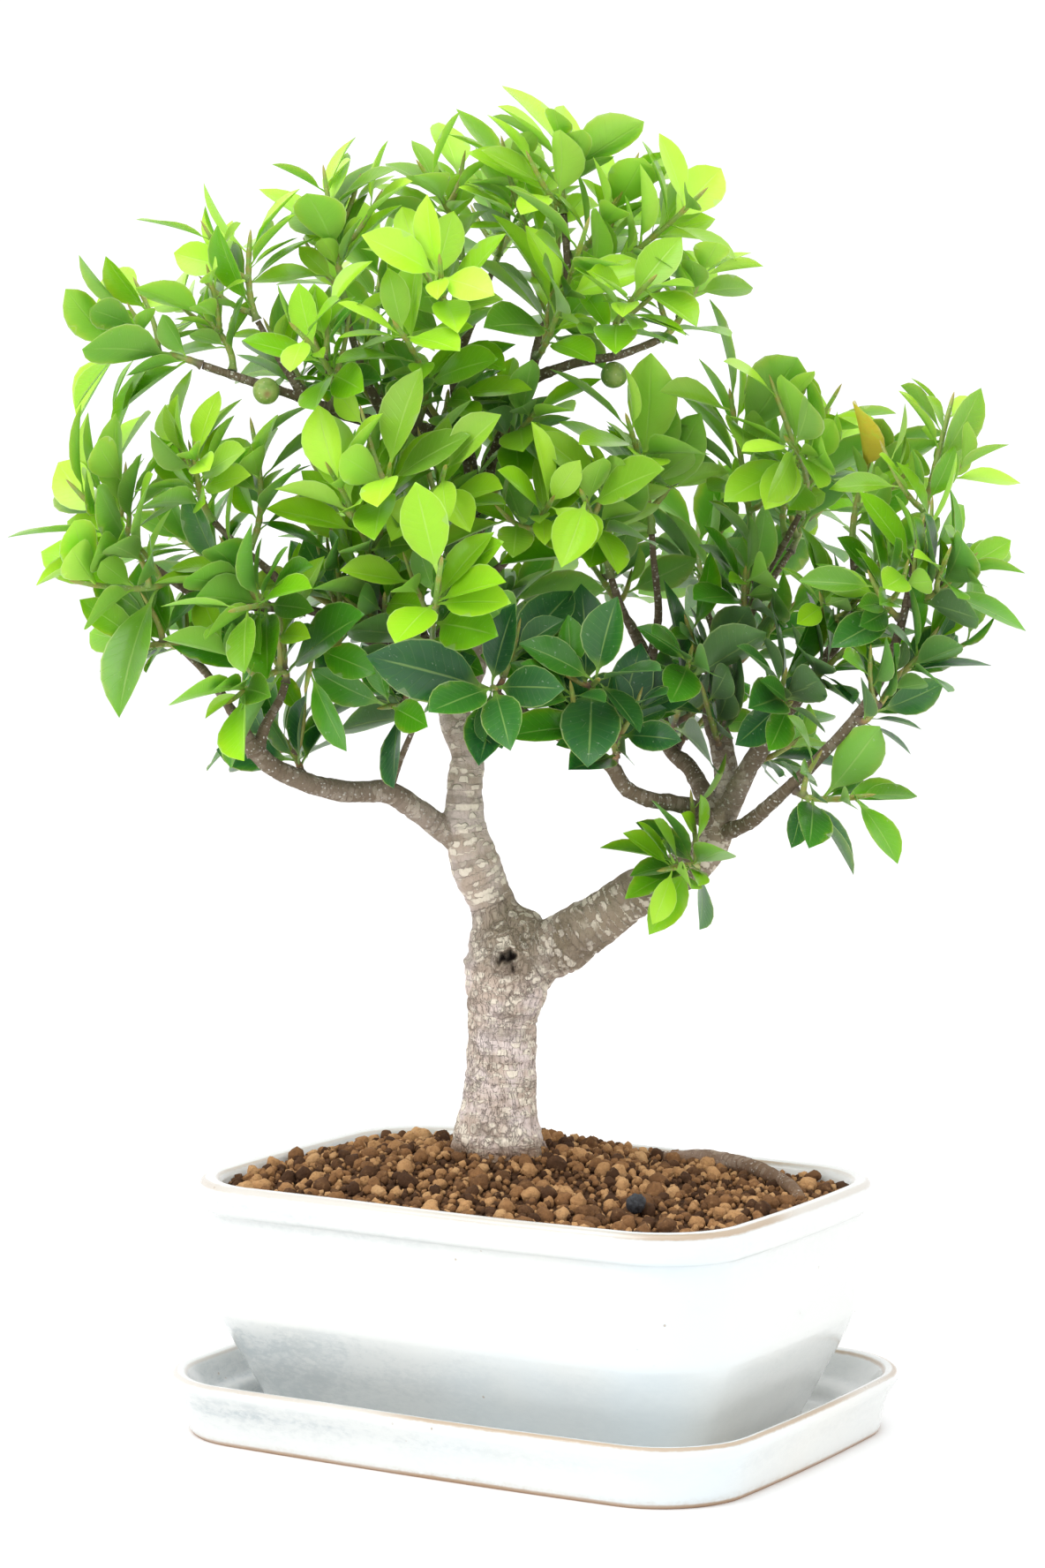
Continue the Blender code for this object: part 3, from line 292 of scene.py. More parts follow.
class Value:
    """A socket that takes part in ordinary arithmetic, adding a Math node for each step."""

    def __init__(self, sheet, socket):
        self.sheet = sheet
        self.socket = socket

    def math(self, operation, *others):
        return self.sheet.add("ShaderNodeMath", {"operation": operation}, {
            k: item for k, item in enumerate((self, *others))}).out(0)

    def __add__(self, other):
        return self.math("ADD", other)

    __radd__ = __add__

    def __sub__(self, other):
        return self.math("SUBTRACT", other)

    def __rsub__(self, other):
        return (self * -1.0) + other

    def __mul__(self, other):
        return self.math("MULTIPLY", other)

    __rmul__ = __mul__

    def __truediv__(self, other):
        return self.math("DIVIDE", other)

    def __rtruediv__(self, other):
        return (self ** -1.0) * other

    def __pow__(self, other):
        return self.math("POWER", other)

    def __abs__(self):
        return self.math("ABSOLUTE")

    def clamped(self):
        return self.math("MAXIMUM", 0.0).math("MINIMUM", 1.0)

    def rise(self, low, high):
        """0 below low, 1 above high and a smooth step between."""
        step = {"interpolation_type": "SMOOTHSTEP"}
        return self.sheet.add("ShaderNodeMapRange", step, {0: self, 1: low, 2: high, 3: 0.0, 4: 1.0}).out(0)

    def fall(self, low, high):
        return 1.0 - self.rise(low, high)


class Node:
    """One node already wired; out() gives a socket as a Value."""

    def __init__(self, sheet, node):
        self.sheet = sheet
        self.node = node

    def out(self, key):
        return Value(self.sheet, self.node.outputs[key])


class Sheet:
    """A node tree being filled in from left to right."""

    def __init__(self, tree):
        self.tree = tree
        self.count = 0

    def add(self, kind, settings=None, sockets=None):
        node = self.tree.nodes.new(kind)
        node.location = (180 * (self.count % 12), -220 * (self.count // 12))
        self.count += 1
        for name, setting in (settings or {}).items():
            if name == "stops":
                self.set_stops(node.color_ramp, setting)
            else:
                setattr(node, name, setting)
        for key, item in (sockets or {}).items():
            for one in item if isinstance(item, list) else [item]:
                if isinstance(one, Value):
                    self.tree.links.new(one.socket, node.inputs[key])
                else:
                    node.inputs[key].default_value = one
        return Node(self, node)

    @staticmethod
    def set_stops(ramp, stops):
        while len(ramp.elements) < len(stops):
            ramp.elements.new(1.0)
        for element, (place, colour) in zip(ramp.elements, stops):
            element.position = place
            element.color = (*colour, 1.0)

    def colour(self, value, stops):
        return self.add("ShaderNodeValToRGB", {"stops": stops}, {0: value}).out(0)

    def mix(self, factor, first, second):
        first = first if isinstance(first, Value) else (*first, 1.0)
        second = second if isinstance(second, Value) else (*second, 1.0)
        return self.add("ShaderNodeMix", {"data_type": "RGBA"}, {0: factor, 6: first, 7: second}).out(2)

    def noise(self, where, scale, detail=3.0, rough=0.55, twist=0.0):
        return self.add("ShaderNodeTexNoise", None, {
            "Vector": where, "Scale": scale, "Detail": detail, "Roughness": rough,
            "Distortion": twist}).out(0)

    def streaks(self, where, along, scale, detail=3.0):
        """Noise drawn out round a limb: slow in space, quick along its length."""
        return self.add("ShaderNodeTexNoise", {"noise_dimensions": "4D"}, {
            "Vector": where, "W": along, "Scale": scale, "Detail": detail, "Roughness": 0.6}).out(0)

    def vector(self, operation, first, second):
        return self.add("ShaderNodeVectorMath", {"operation": operation}, {0: first, 1: second}).out(0)

    def warped(self, where, scale, reach):
        """The same place pushed about by slow noise, so that patterns lose their regularity."""
        push = self.add("ShaderNodeTexNoise", None, {"Vector": where, "Scale": scale, "Detail": 2.0}).out("Color")
        push = self.vector("SUBTRACT", push, (0.5, 0.5, 0.5))
        return self.vector("ADD", where, self.vector("MULTIPLY", push, (reach, reach, reach)))

    def cells(self, where, scale, feature="F1"):
        sockets = {"Vector": where, "Scale": scale}
        return self.add("ShaderNodeTexVoronoi", {"feature": feature}, sockets).out("Distance")

    def pills(self, where, along, scale, stretch):
        """Scattered spots, short along a limb and long round it: distance to the nearest."""
        return self.add("ShaderNodeTexVoronoi", {"voronoi_dimensions": "4D"}, {
            "Vector": where, "W": along * stretch, "Scale": scale}).out("Distance")

    def attribute(self, name):
        return self.add("ShaderNodeAttribute", {"attribute_name": name}).out("Fac")

    def place(self):
        return self.add("ShaderNodeTexCoord").out("Object")

    def split(self, vector):
        return self.add("ShaderNodeSeparateXYZ", None, {0: vector})

    def surface(self, base, rough, height, strength, distance):
        """What most finishes drive: colour, roughness and a relief of the given depth."""
        bump = {"Height": height, "Strength": strength, "Distance": distance}
        return {"Base Color": base, "Roughness": rough, "Normal": self.add("ShaderNodeBump", None, bump).out(0)}


def new_material(name, fixed, wire):
    """A Principled material: fixed holds constants for its sockets, wire returns the driven ones."""
    made = bpy.data.materials.new(name)
    made.use_nodes = True
    sheet = Sheet(made.node_tree)
    shader = made.node_tree.nodes["Principled BSDF"]
    for key, item in fixed.items():
        shader.inputs[key].default_value = item
    for key, value in wire(sheet).items():
        made.node_tree.links.new(value.socket, shader.inputs[key])
    return made


# ---------------------------------------------------------------- materials

def glaze_material(look):
    def wire(s):
        at = s.place()
        pool = s.attribute("pool")
        edge = s.attribute("break")
        foot = s.attribute("foot")
        flat = s.vector("MULTIPLY", at, (1.0, 1.0, 2.2))
        cloud = s.noise(flat, 22.0, 3.0, 0.6, 0.6)
        mottle = s.noise(flat, 260.0, 4.0, 0.7, 0.3)
        fine = s.noise(at, 420.0, 3.0, 0.6)
        side = s.noise(at, 8.0, 1.0)
        spot = s.split(at)
        # Blue-grey pooled glaze mixed with painted shade: the pooling mark also lies under the rim, on the bevels
        # and in the tray's recesses, and the left side is painted darker
        left = spot.out(0).fall(-0.10, 0.06)
        depth = pool * (0.06 + left * 0.42 + (cloud * 0.7 + mottle * 0.9).rise(0.68, 1.0) * (0.25 + left * 0.5))
        bluing_and_shade = (depth + cloud.rise(0.60, 0.85) * 0.22).clamped()
        base = s.mix(bluing_and_shade, look.glaze_colour, look.glaze_pool_and_shade_colour)
        # Painted shade: a blue-grey cast on the front corner of the pot, mixed with random bluish patches
        corner = spot.out(0).rise(0.055, 0.108) * spot.out(1).fall(-0.080, -0.045)
        base = s.mix((side.rise(0.50, 0.75) * 0.30 + corner * 0.45).clamped(), base, (0.66, 0.77, 0.84))
        base = s.mix(s.noise(at, 13.0, 2.0).rise(0.52, 0.8) * 0.25, base, (0.80, 0.76, 0.67))
        patchy = 0.40 + side.rise(0.44, 0.60) * 0.60
        worn = (edge - mottle * 0.30 - fine * 0.18).rise(0.10, 0.48) * patchy
        base = s.mix(worn * 0.88, base, look.glaze_break_colour)
        pits = s.cells(at, 130.0).fall(0.05, 0.09) * s.noise(at, 38.0).rise(0.57, 0.64)
        base = s.mix(pits * 0.7, base, (0.36, 0.26, 0.18))
        base = s.mix(foot, base, look.bare_clay_colour)
        rough = 0.12 + worn * 0.25 + fine * 0.05 + foot * 0.55 + pits * 0.25
        ripple = s.noise(at, 60.0, 2.0) + pits * -0.8 + mottle * 0.22 + fine * 0.06
        return {"Coat Weight": (1.0 - foot) * 0.5, **s.surface(base, rough.clamped(), ripple, 0.16, 0.0012)}
    return new_material("white_glaze", {"Coat Roughness": 0.05, "IOR": 1.5}, wire)


def grain_material(look):
    def wire(s):
        at = s.place()
        tint = s.attribute("grain")
        fine = s.noise(at, 900.0, 4.0, 0.7)
        speck = s.noise(at, 380.0, 3.0, 0.6)
        base = s.colour((tint * 0.82 + speck * 0.30 - 0.06).clamped(), (
            (0.0, (0.045, 0.022, 0.012)), (0.25, look.grain_dark), (0.55, look.grain_mid),
            (0.82, look.grain_light), (1.0, (0.60, 0.38, 0.19))))
        base = s.mix(fine.rise(0.52, 0.72) * 0.45, base, (0.06, 0.03, 0.018))
        base = s.mix(speck.rise(0.62, 0.80) * 0.45, base, (0.55, 0.34, 0.17))
        return s.surface(base, 0.86 + fine * 0.12, fine + speck * 1.6, 0.75, 0.0009)
    return new_material("clay_grit", {"Specular IOR Level": 0.15}, wire)


def char_material():
    def wire(s):
        fine = s.noise(s.place(), 700.0, 4.0, 0.7)
        base = s.colour(fine, ((0.3, (0.008, 0.008, 0.010)), (0.7, (0.05, 0.055, 0.065))))
        return s.surface(base, 0.55 + fine * 0.3, fine, 0.8, 0.0008)
    return new_material("charred_grit", {}, wire)


def bark_material(look):
    def wire(s):
        at = s.place()
        along = s.attribute("along")
        girth = s.attribute("girth")
        loose = s.warped(at, 110.0, 0.005)
        broad = s.noise(at, 48.0, 3.0, 0.62)
        fine = s.noise(at, 620.0, 4.0, 0.7)
        fibre = s.noise(s.vector("MULTIPLY", at, (1.0, 1.0, 0.2)), 950.0, 3.0, 0.6)
        thick = girth.rise(0.0030, 0.0085)
        trunk = girth.rise(0.0100, 0.0140)
        base = s.mix(thick, look.twig_colour, look.bark_colour)
        base = s.mix((broad.rise(0.40, 0.60) * 0.9 * thick).clamped(), base, look.bark_pale)
        base = s.mix(fibre.rise(0.50, 0.68) * 0.24, base, look.bark_dark)
        base = s.mix(fine.rise(0.55, 0.75) * 0.18, base, look.bark_dark)
        band = s.streaks(at, along * 8.0, 36.0, 2.0)
        shaggy = s.warped(at, 420.0, 0.0010)
        row = s.noise(at, 90.0, 2.0).rise(0.42, 0.52)
        cork = s.pills(shaggy, along, 215.0, 3.6).fall(0.52, 0.59)
        cork = cork * (row * 0.9 + band.rise(0.48, 0.55)).clamped() * (0.15 + thick * 0.85)
        scaly = s.noise(at, 62.0, 2.0).rise(0.44, 0.56) * trunk
        plate = s.cells(shaggy, 250.0)
        flake = plate.fall(0.30, 0.46) * scaly * 0.6
        gap = s.cells(shaggy, 250.0, "DISTANCE_TO_EDGE").fall(0.02, 0.12) * scaly * fine.rise(0.40, 0.55)
        rings = band.fall(0.36, 0.44) * (0.20 + thick * 0.35)
        drawn = s.vector("MULTIPLY", loose, (1.0, 1.0, 0.16))
        split = abs(s.noise(drawn, 420.0, 3.0, 0.6) - 0.5).fall(0.002, 0.024)
        crack = (gap * 0.6 + rings + split * trunk * 0.85).clamped()
        pale = (cork + flake * 0.75).clamped() * (1.0 - crack * 0.45)
        base = s.mix(pale * 0.90, base, look.lenticel_colour)
        base = s.mix(crack * 0.55, base, look.bark_dark)
        # Browner bark on the right limb and above the fork, and painted shade round the fork, from the
        # crown_of_trunk mark
        browning_and_fork_shade = s.attribute("crown_of_trunk") * (0.75 + broad.rise(0.40, 0.60) * 0.25) * (1.0 - cork * 0.60)
        base = s.mix((browning_and_fork_shade * 0.90).clamped(), base, s.mix(fibre, (0.13, 0.098, 0.052), (0.27, 0.215, 0.125)))
        dots = s.cells(loose, 560.0).fall(0.20, 0.30) * (1.0 - thick) * s.noise(at, 170.0).rise(0.40, 0.52)
        base = s.mix(dots * 0.85, base, (0.70, 0.66, 0.60))
        dirt = s.attribute("soiled")
        base = s.mix((dirt * (0.45 + fine * 0.7)).clamped(), base, (0.24, 0.135, 0.070))
        # Painted shade: near black in the hollows of the cut limbs
        base = s.mix(s.attribute("scar"), base, (0.020, 0.014, 0.012))
        relief = pale - crack * 1.3 + fibre * 0.5 + fine * 0.6 + broad * 0.6 + dots * 0.5
        return s.surface(base, 0.80 + fine * 0.16, relief, 0.75, 0.0012)
    return new_material("bark", {"Specular IOR Level": 0.22}, wire)


def leaf_material(look):
    def wire(s):
        at = s.place()
        parts = s.split(s.add("ShaderNodeUVMap", {"uv_map": "leaf"}).out(0))
        across = abs(parts.out(0) - 0.5) * 2.0
        up = parts.out(1)
        age = s.attribute("youth")
        tone = s.attribute("tone")
        under = s.attribute("under")
        cloud = s.noise(at, 55.0, 3.0, 0.6)
        base = s.colour((age + (cloud - 0.5) * 0.16).clamped(), (
            (0.0, look.leaf_old), (0.30, look.leaf_grown), (0.62, look.leaf_fresh),
            (0.92, look.leaf_new), (1.0, (0.48, 0.84, 0.06))))
        base = s.mix(tone ** 2.0 * 0.70, base, (0.014, 0.072, 0.024))
        rib_place = up * 11.0 - across * 2.2
        ribs = (rib_place * (2.0 * math.pi)).math("SINE").rise(0.86, 1.0) * across.rise(0.04, 0.2)
        midrib = across.fall(0.015, 0.06) * up.fall(0.70, 1.0)
        margin = across.rise(0.93, 0.985)
        paler = s.mix(0.50, base, (0.55, 0.76, 0.22))
        base = s.mix((ribs * 0.06 + midrib * 0.50 + margin * 0.75).clamped(), base, paler)
        base = s.mix(up.fall(0.0, 0.18) * 0.35, base, (0.40, 0.62, 0.10))
        base = s.mix(under * 0.55, base, s.mix(0.5, base, (0.32, 0.46, 0.20)))
        sere = s.attribute("sere")
        patch = (sere * 1.6 + s.noise(at, 110.0) - 1.05).rise(0.0, 0.35)
        base = s.mix(patch * 0.9, base, (0.62, 0.42, 0.04))
        dust = s.noise(at, 620.0, 2.0).rise(0.67, 0.74) * (1.0 - age) * 0.30
        base = s.mix(dust, base, (0.50, 0.56, 0.46))
        rough = 0.27 + under * 0.30 + cloud * 0.10 + dust * 0.4
        relief = midrib * -1.0 - ribs * 0.25 + s.noise(at, 240.0) * 0.25
        return s.surface(base, rough.clamped(), relief, 0.3, 0.0006)
    return new_material("leaf", {"Coat Weight": 0.14, "Coat Roughness": 0.15,
                                 "Specular IOR Level": 0.32, "Subsurface Weight": 0.20,
                                 "Subsurface Radius": (0.5, 1.0, 0.1), "Subsurface Scale": 0.0015}, wire)


def stem_material(look):
    def wire(s):
        at = s.place()
        woody = s.attribute("woody")
        fine = s.noise(at, 420.0, 3.0)
        base = s.mix(fine.rise(0.35, 0.7) * 0.5, look.stem_colour, (0.20, 0.36, 0.07))
        base = s.mix(woody.rise(0.35, 0.80), base, look.twig_colour)
        spots = s.cells(at, 620.0).fall(0.14, 0.26) * 0.6
        base = s.mix(spots, base, (0.62, 0.62, 0.42))
        base = s.mix(s.attribute("scale"), base, look.scale_colour)
        return s.surface(base, 0.42 + woody * 0.35, fine + spots, 0.4, 0.0005)
    return new_material("green_stem", {"Subsurface Weight": 0.08, "Subsurface Scale": 0.001}, wire)


def fig_material():
    def wire(s):
        at = s.place()
        spots = s.cells(at, 480.0).fall(0.12, 0.22)
        cloud = s.noise(at, 150.0)
        base = s.mix(cloud.rise(0.35, 0.7), (0.20, 0.34, 0.07), (0.38, 0.48, 0.13))
        base = s.mix(spots * 0.7, base, (0.66, 0.68, 0.40))
        base = s.mix(s.attribute("eye"), base, (0.34, 0.20, 0.08))
        return s.surface(base, 0.38 + cloud * 0.12, spots + cloud, 0.4, 0.0004)
    return new_material("fig_skin", {"Subsurface Weight": 0.1, "Subsurface Scale": 0.002}, wire)


def plastic_material():
    def wire(s):
        at = s.place()
        fine = s.noise(at, 1400.0, 2.0)
        dirt = s.noise(at, 180.0).rise(0.5, 0.75) * 0.5
        base = s.mix(dirt, (0.022, 0.023, 0.025), (0.14, 0.08, 0.05))
        return s.surface(base, 0.42 + fine * 0.2, fine, 0.3, 0.0002)
    return new_material("screen_plastic", {}, wire)


def wire_material():
    def wire(s):
        fine = s.noise(s.place(), 900.0, 3.0)
        base = s.mix(fine.rise(0.45, 0.75), (0.62, 0.60, 0.57), (0.40, 0.36, 0.32))
        return s.surface(base, 0.28 + fine * 0.25, fine, 0.2, 0.0002)
    return new_material("drawn_aluminium", {"Metallic": 1.0}, wire)


def floor_material(look):
    def wire(s):
        soft = s.noise(s.place(), 3.0, 2.0)
        base = s.mix(soft * 0.3, look.floor_colour, (0.95, 0.95, 0.96))
        return {"Base Color": base, "Roughness": 0.6 + soft * 0.1}
    return new_material("studio_floor", {"Specular IOR Level": 0.2}, wire)


# ---------------------------------------------------------------- mesh helpers

def tree(point):
    """Turn a tree point in millimetres into the pot's frame in metres."""
    across, away, height = point
    turn = math.radians(FRONT_TURN)
    x = across * math.cos(turn) - away * math.sin(turn)
    y = across * math.sin(turn) + away * math.cos(turn)
    return Vector((x, y, height)) * MM


def new_object(name, mesh, materials=()):
    for material in materials:
        mesh.materials.append(material)
    made = bpy.data.objects.new(name, mesh)
    bpy.context.scene.collection.objects.link(made)
    return made


def finish_piece(piece, slot, *nodes):
    """Parent a finished piece to what carries it and hide the frame solids it stands for; slot, the name of its
    finish, is not used.
    """
    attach(piece, ROOT_BODY)
    if nodes:
        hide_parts(*nodes)


def shade_smooth(mesh):
    for face in mesh.polygons:
        face.use_smooth = True


def mesh_from(name, bm):
    bmesh.ops.recalc_face_normals(bm, faces=bm.faces)
    mesh = bpy.data.meshes.new(name)
    bm.to_mesh(mesh)
    bm.free()
    shade_smooth(mesh)
    return mesh


def put_attribute(mesh, name, values, kind="FLOAT"):
    layer = mesh.attributes.new(name, kind, "POINT")
    field = "vector" if kind == "FLOAT_VECTOR" else "value"
    layer.data.foreach_set(field, np.asarray(values, dtype=np.int32 if kind == "INT" else np.float32).ravel())


def bake_modifiers(piece):
    """Swap a piece's mesh for its finished one and drop the modifiers."""
    made = bpy.data.meshes.new_from_object(piece.evaluated_get(bpy.context.evaluated_depsgraph_get()))
    made.name = piece.name
    old = piece.data
    piece.modifiers.clear()
    piece.data = made
    bpy.data.meshes.remove(old)


def loft(bm, rings):
    """Skin rings of equally many points into one closed shape."""
    rows = [[bm.verts.new(point) for point in ring] for ring in rings]
    count = len(rows[0])
    for low, high in zip(rows, rows[1:]):
        for i in range(count):
            j = (i + 1) % count
            bm.faces.new((low[i], low[j], high[j], high[i]))
    bm.faces.new(list(reversed(rows[0])))
    bm.faces.new(rows[-1])


def clamp(value):
    return max(0.0, min(1.0, value))


def square_to(ahead, vector):
    """The part of a vector at right angles to a direction, as a direction."""
    return (vector - ahead * vector.dot(ahead)).normalized()


def middle_of(ring):
    return sum(ring, Vector()) / 4


def round_between(a, b, c, d, t):
    """A point on the rounded line from b to c."""
    return 0.5 * (2 * b + (c - a) * t + (2 * a - 5 * b + 4 * c - d) * t * t + (3 * b - a - 3 * c + d) * t ** 3)


def smooth_path(points, step):
    """Round a sketched line into evenly spaced points."""
    line = []
    padded = [points[0] * 2 - points[1], *points, points[-1] * 2 - points[-2]]
    for a, b, c, d in zip(padded, padded[1:], padded[2:], padded[3:]):
        parts = max(1, round((c - b).length / step))
        line += [round_between(a, b, c, d, k / parts) for k in range(parts)]
    line.append(points[-1])
    return line


# ---------------------------------------------------------------- glazed ware

def outline(half, corners, inset, z):
    """One level of the ware: a rounded rectangle with slightly bowed sides."""
    half_x = half[0] - inset
    half_y = half[1] - inset
    wide, tighten, least = corners
    corner = min(max(least, wide - tighten * inset), half_x - 0.002, half_y - 0.002)
    plan = []
    for turn, sx, sy in ((0, 1, 1), (90, -1, 1), (180, -1, -1), (270, 1, -1)):
        for k in range(CORNER_POINTS):
            angle = math.radians(turn + 90 * k / (CORNER_POINTS - 1))
            plan.append((sx * (half_x - corner) + corner * math.cos(angle),
                         sy * (half_y - corner) + corner * math.sin(angle)))
    full = []
    for i, (x, y) in enumerate(plan):
        full.append((x, y))
        if i % CORNER_POINTS == CORNER_POINTS - 1:
            nx, ny = plan[(i + 1) % len(plan)]
            full += [(x + (nx - x) * k / SIDE_STEPS, y + (ny - y) * k / SIDE_STEPS) for k in range(1, SIDE_STEPS)]
    ring = []
    for x, y in full:
        out_x = POT_BOW * max(0.0, 1 - (y / half_y) ** 2)
        out_y = POT_BOW * max(0.0, 1 - (x / half_x) ** 2)
        ring.append(Vector((x + out_x * x / half_x, y + out_y * y / half_y, z)))
    return ring


def soil_height(x, y):
    """Top of the soil: mounded to the root collar, uneven with loose grit."""
    collar = tree(TRUNK[1][0])
    reach = math.hypot(x - collar.x, y - collar.y) / MOUND_REACH
    bump = noise.noise(Vector((x, y, 0)) * 90.0) * 0.0012
    return POT_TOP - SOIL_EDGE + SOIL_MOUND * math.exp(-reach ** 2) + bump


def build_ware(name, levels, half, corners):
    """Loft a pot or tray from (inset, height, break, pool, foot) levels, wavering a little by hand."""
    waver = sizes().hand_waver
    bm = bmesh.new()
    rings = []
    marks = []
    for inset, z, *mark in fine_levels(levels):
        ring = outline(half, corners, inset, z)
        for p in ring:
            sway = noise.noise(Vector((p.x * 9, p.y * 9, 3.0)))
            lift = noise.noise(Vector((p.x * 14, p.y * 14, 8.0)))
            p.x *= 1 + waver * 0.004 * sway
            p.y *= 1 + waver * 0.004 * sway
            p.z += waver * 0.0005 * lift * min(1.0, z / 0.02)
        rings.append(ring)
        marks += [mark] * len(ring)
    loft(bm, rings)
    mesh = mesh_from(name, bm)
    for k, label in enumerate(("break", "pool", "foot")):
        put_attribute(mesh, label, [row[k] for row in marks])
    return new_object(name, mesh, [glaze_material(colours())])


def fine_levels(levels):
    """Add in-between levels so that marks fade over a few millimetres."""
    out = [levels[0]]
    for a, b in zip(levels, levels[1:]):
        parts = max(1, math.ceil(math.hypot(b[0] - a[0], b[1] - a[1]) / LEVEL_STEP))
        out += [tuple(u + (v - u) * k / parts for u, v in zip(a, b)) for k in range(1, parts + 1)]
    return out


# ---------------------------------------------------------------- tree layout

def limb_path(points, thick, thin):
    """Rounded centre line of a limb and its radius at every point."""
    way = smooth_path(points, LIMB_STEP)
    count = len(way) - 1
    return way, [(thin + (thick - thin) * (1 - k / count) ** 1.3) * MM for k in range(count + 1)]


def root_points():
    """The surface root, from the middle of the collar round the pot's right-hand back corner."""
    run = [tree(TRUNK[1][0])]
    for along, back, height in ROOT_RUN:
        x = along * POT_HALF[0]
        y = back * POT_HALF[1]
        run.append(Vector((x, y, soil_height(x, y) + height * MM)))
    return run


def all_limbs():
    """Name, centre line and radii of everything that grows from the trunk."""
    return [("root", *limb_path(root_points(), *ROOT_SIZES)),
            *((name, *limb_path([tree(p) for p in points], *radii)) for name, radii, points in LIMBS)]


def trunk_line():
    return [tree(p) for p, _ in TRUNK], [r * MM for _, r in TRUNK]


def wood_lines():
    """Every straight piece of the wood's centre lines, with the radius along it."""
    lines = []
    for way, radii in (trunk_line(), *(limb[1:] for limb in all_limbs())):
        for k in range(len(way) - 1):
            lines.append((way[k], way[k + 1], radii[k], radii[k + 1], k == len(way) - 2))
    return lines


def seat_on_wood(near, toward, lines):
    """Where a stem starts on the bark near a point: just clear of it, and the way out."""
    best = None
    for a, b, ra, rb, tip in lines:
        along = b - a
        t = clamp((near - a).dot(along) / along.length_squared)
        spot = a + along * t
        far = (near - spot).length
        if best is None or far < best[0]:
            best = (far, spot, along.normalized(), ra + (rb - ra) * t, tip and t > 0.97)
    _, spot, along, radius, at_end = best
    if at_end:
        return spot + along * (SEAT + 0.0001), along
    out = square_to(along, toward - spot)
    return spot + out * (radius + SEAT), out


def bend_at(way, t):
    """A point of a bent stem and the way the stem runs there."""
    start, mid, end = way
    ahead = ((mid - start) * (1 - t) + (end - mid) * t).normalized()
    return start * (1 - t) ** 2 + mid * 2 * t * (1 - t) + end * t * t, ahead


def bare_stem(start, out, end, leaves, girth, rng):
    """A stem without its leaves: square cross-sections, two close together at every leaf, and its bud."""
    reach = (end - start).length
    way = (start, start + out * (reach * 0.3) + Vector((0, 0, reach * 0.06)), end)
    stops = [0.0]
    for k in range(leaves):
        at = 0.22 + 0.70 * k / max(1, leaves - 1)
        half = 0.0010 / reach
        stops += [at - half, at + half]
    rings = []
    side = None
    for t in stops:
        centre, ahead = bend_at(way, t)
        side = square_to(ahead, ahead.orthogonal().normalized() if side is None else side)
        turn = Matrix.Rotation(rng.uniform(0.25, 0.45), 3, ahead) if t else Matrix.Identity(3)
        side = turn @ side
        other = ahead.cross(side)
        radius = STEM_RADIUS * (1.25 - 0.45 * t)
        rings.append([centre + side * radius, centre + other * radius,
                      centre - side * radius, centre - other * radius])
    return {"rings": rings, "bud": end + ahead * 0.004, "stops": stops, "way": way, "leaves": [], "girth": girth}


def bare_shoot(near, end, leaves, length, youth, lines, rng):
    """A shoot's stem on its seat, and the room it takes up."""
    start, out = seat_on_wood(tree(near), tree(end), lines)
    shoot = bare_stem(start, out, tree(end), leaves, 1.0, rng)
    shoot.update(youth=youth, length=length * MM, sides=[])
    rings, bud = shoot["rings"], shoot["bud"]
    centre = (start + bud) / 2
    reach = max((p - centre).length for ring in rings for p in (*ring, bud)) + LEAF_GAP
    return shoot, (centre, reach, box_tree(rings, bud, LEAF_GAP))


def box_tree(rings, tip, gap):
    """Closed shape a gap larger than a stem."""
    points = []
    for ring in rings:
        middle = middle_of(ring)
        points += [middle + (p - middle) * (1 + gap * 1.5 / (p - middle).length) for p in ring]
    points.append(tip + (tip - middle_of(rings[-1])).normalized() * gap)
    faces = []
    for k in range(len(rings) - 1):
        for i in range(4):
            j = (i + 1) % 4
            faces.append((4 * k + i, 4 * k + j, 4 * k + 4 + j, 4 * k + 4 + i))
    last = 4 * (len(rings) - 1)
    faces += [(last + i, last + (i + 1) % 4, last + 4) for i in range(4)]
    return BVHTree.FromPolygons(points, faces)


def leaf_hull(base, ahead, face, length, gap):
    """Closed shape a gap larger than a leaf, for testing what it would touch."""
    side = ahead.cross(face).normalized()
    rings = []
    for share, half, arch in ((0.17, 0.05, 0.0), (0.46, 0.25, 0.02), (0.80, 0.22, 0.07)):
        centre = base + ahead * (length * share) - face * (length * arch)
        rim = length * half
        rise = face * (rim * 0.22)
        thick = LEAF_THICK * (1.4 if share < 0.3 else 1.0)
        rings.append([centre + side * rim + rise, centre + face * thick * 0.5,
                      centre - side * rim + rise, centre - face * thick * 0.9])
    tip = base + ahead * (length * LEAF_REACH) - face * (length * LEAF_DROOP)
    stalk = middle_of(rings[0])
    root = base + (stalk - base) * 0.3
    rings = [[root + (p - stalk) * 0.6 for p in rings[0]], *rings]
    points = []
    for ring in rings:
        middle = middle_of(ring)
        across = (ring[0] - ring[2]).normalized()
        up = (ring[1] - ring[3]).normalized()
        points += [ring[0] + across * gap + up * gap, ring[2] - across * gap + up * gap,
                   ring[2] - across * gap - up * gap, ring[0] + across * gap - up * gap,
                   middle + up * gap, middle - up * gap]
    points.append(tip + (tip - rings[-1][1]).normalized() * gap)
    edges = ((0, 4), (4, 1), (1, 2), (2, 5), (5, 3), (3, 0))
    last = 6 * (len(rings) - 1)
    faces = []
    for k in range(0, last, 6):
        faces += [(k + a, k + b, k + b + 6, k + a + 6) for a, b in edges]
    faces += [(last + a, last + b, last + 6) for a, b in edges]
    return BVHTree.FromPolygons(points, faces)


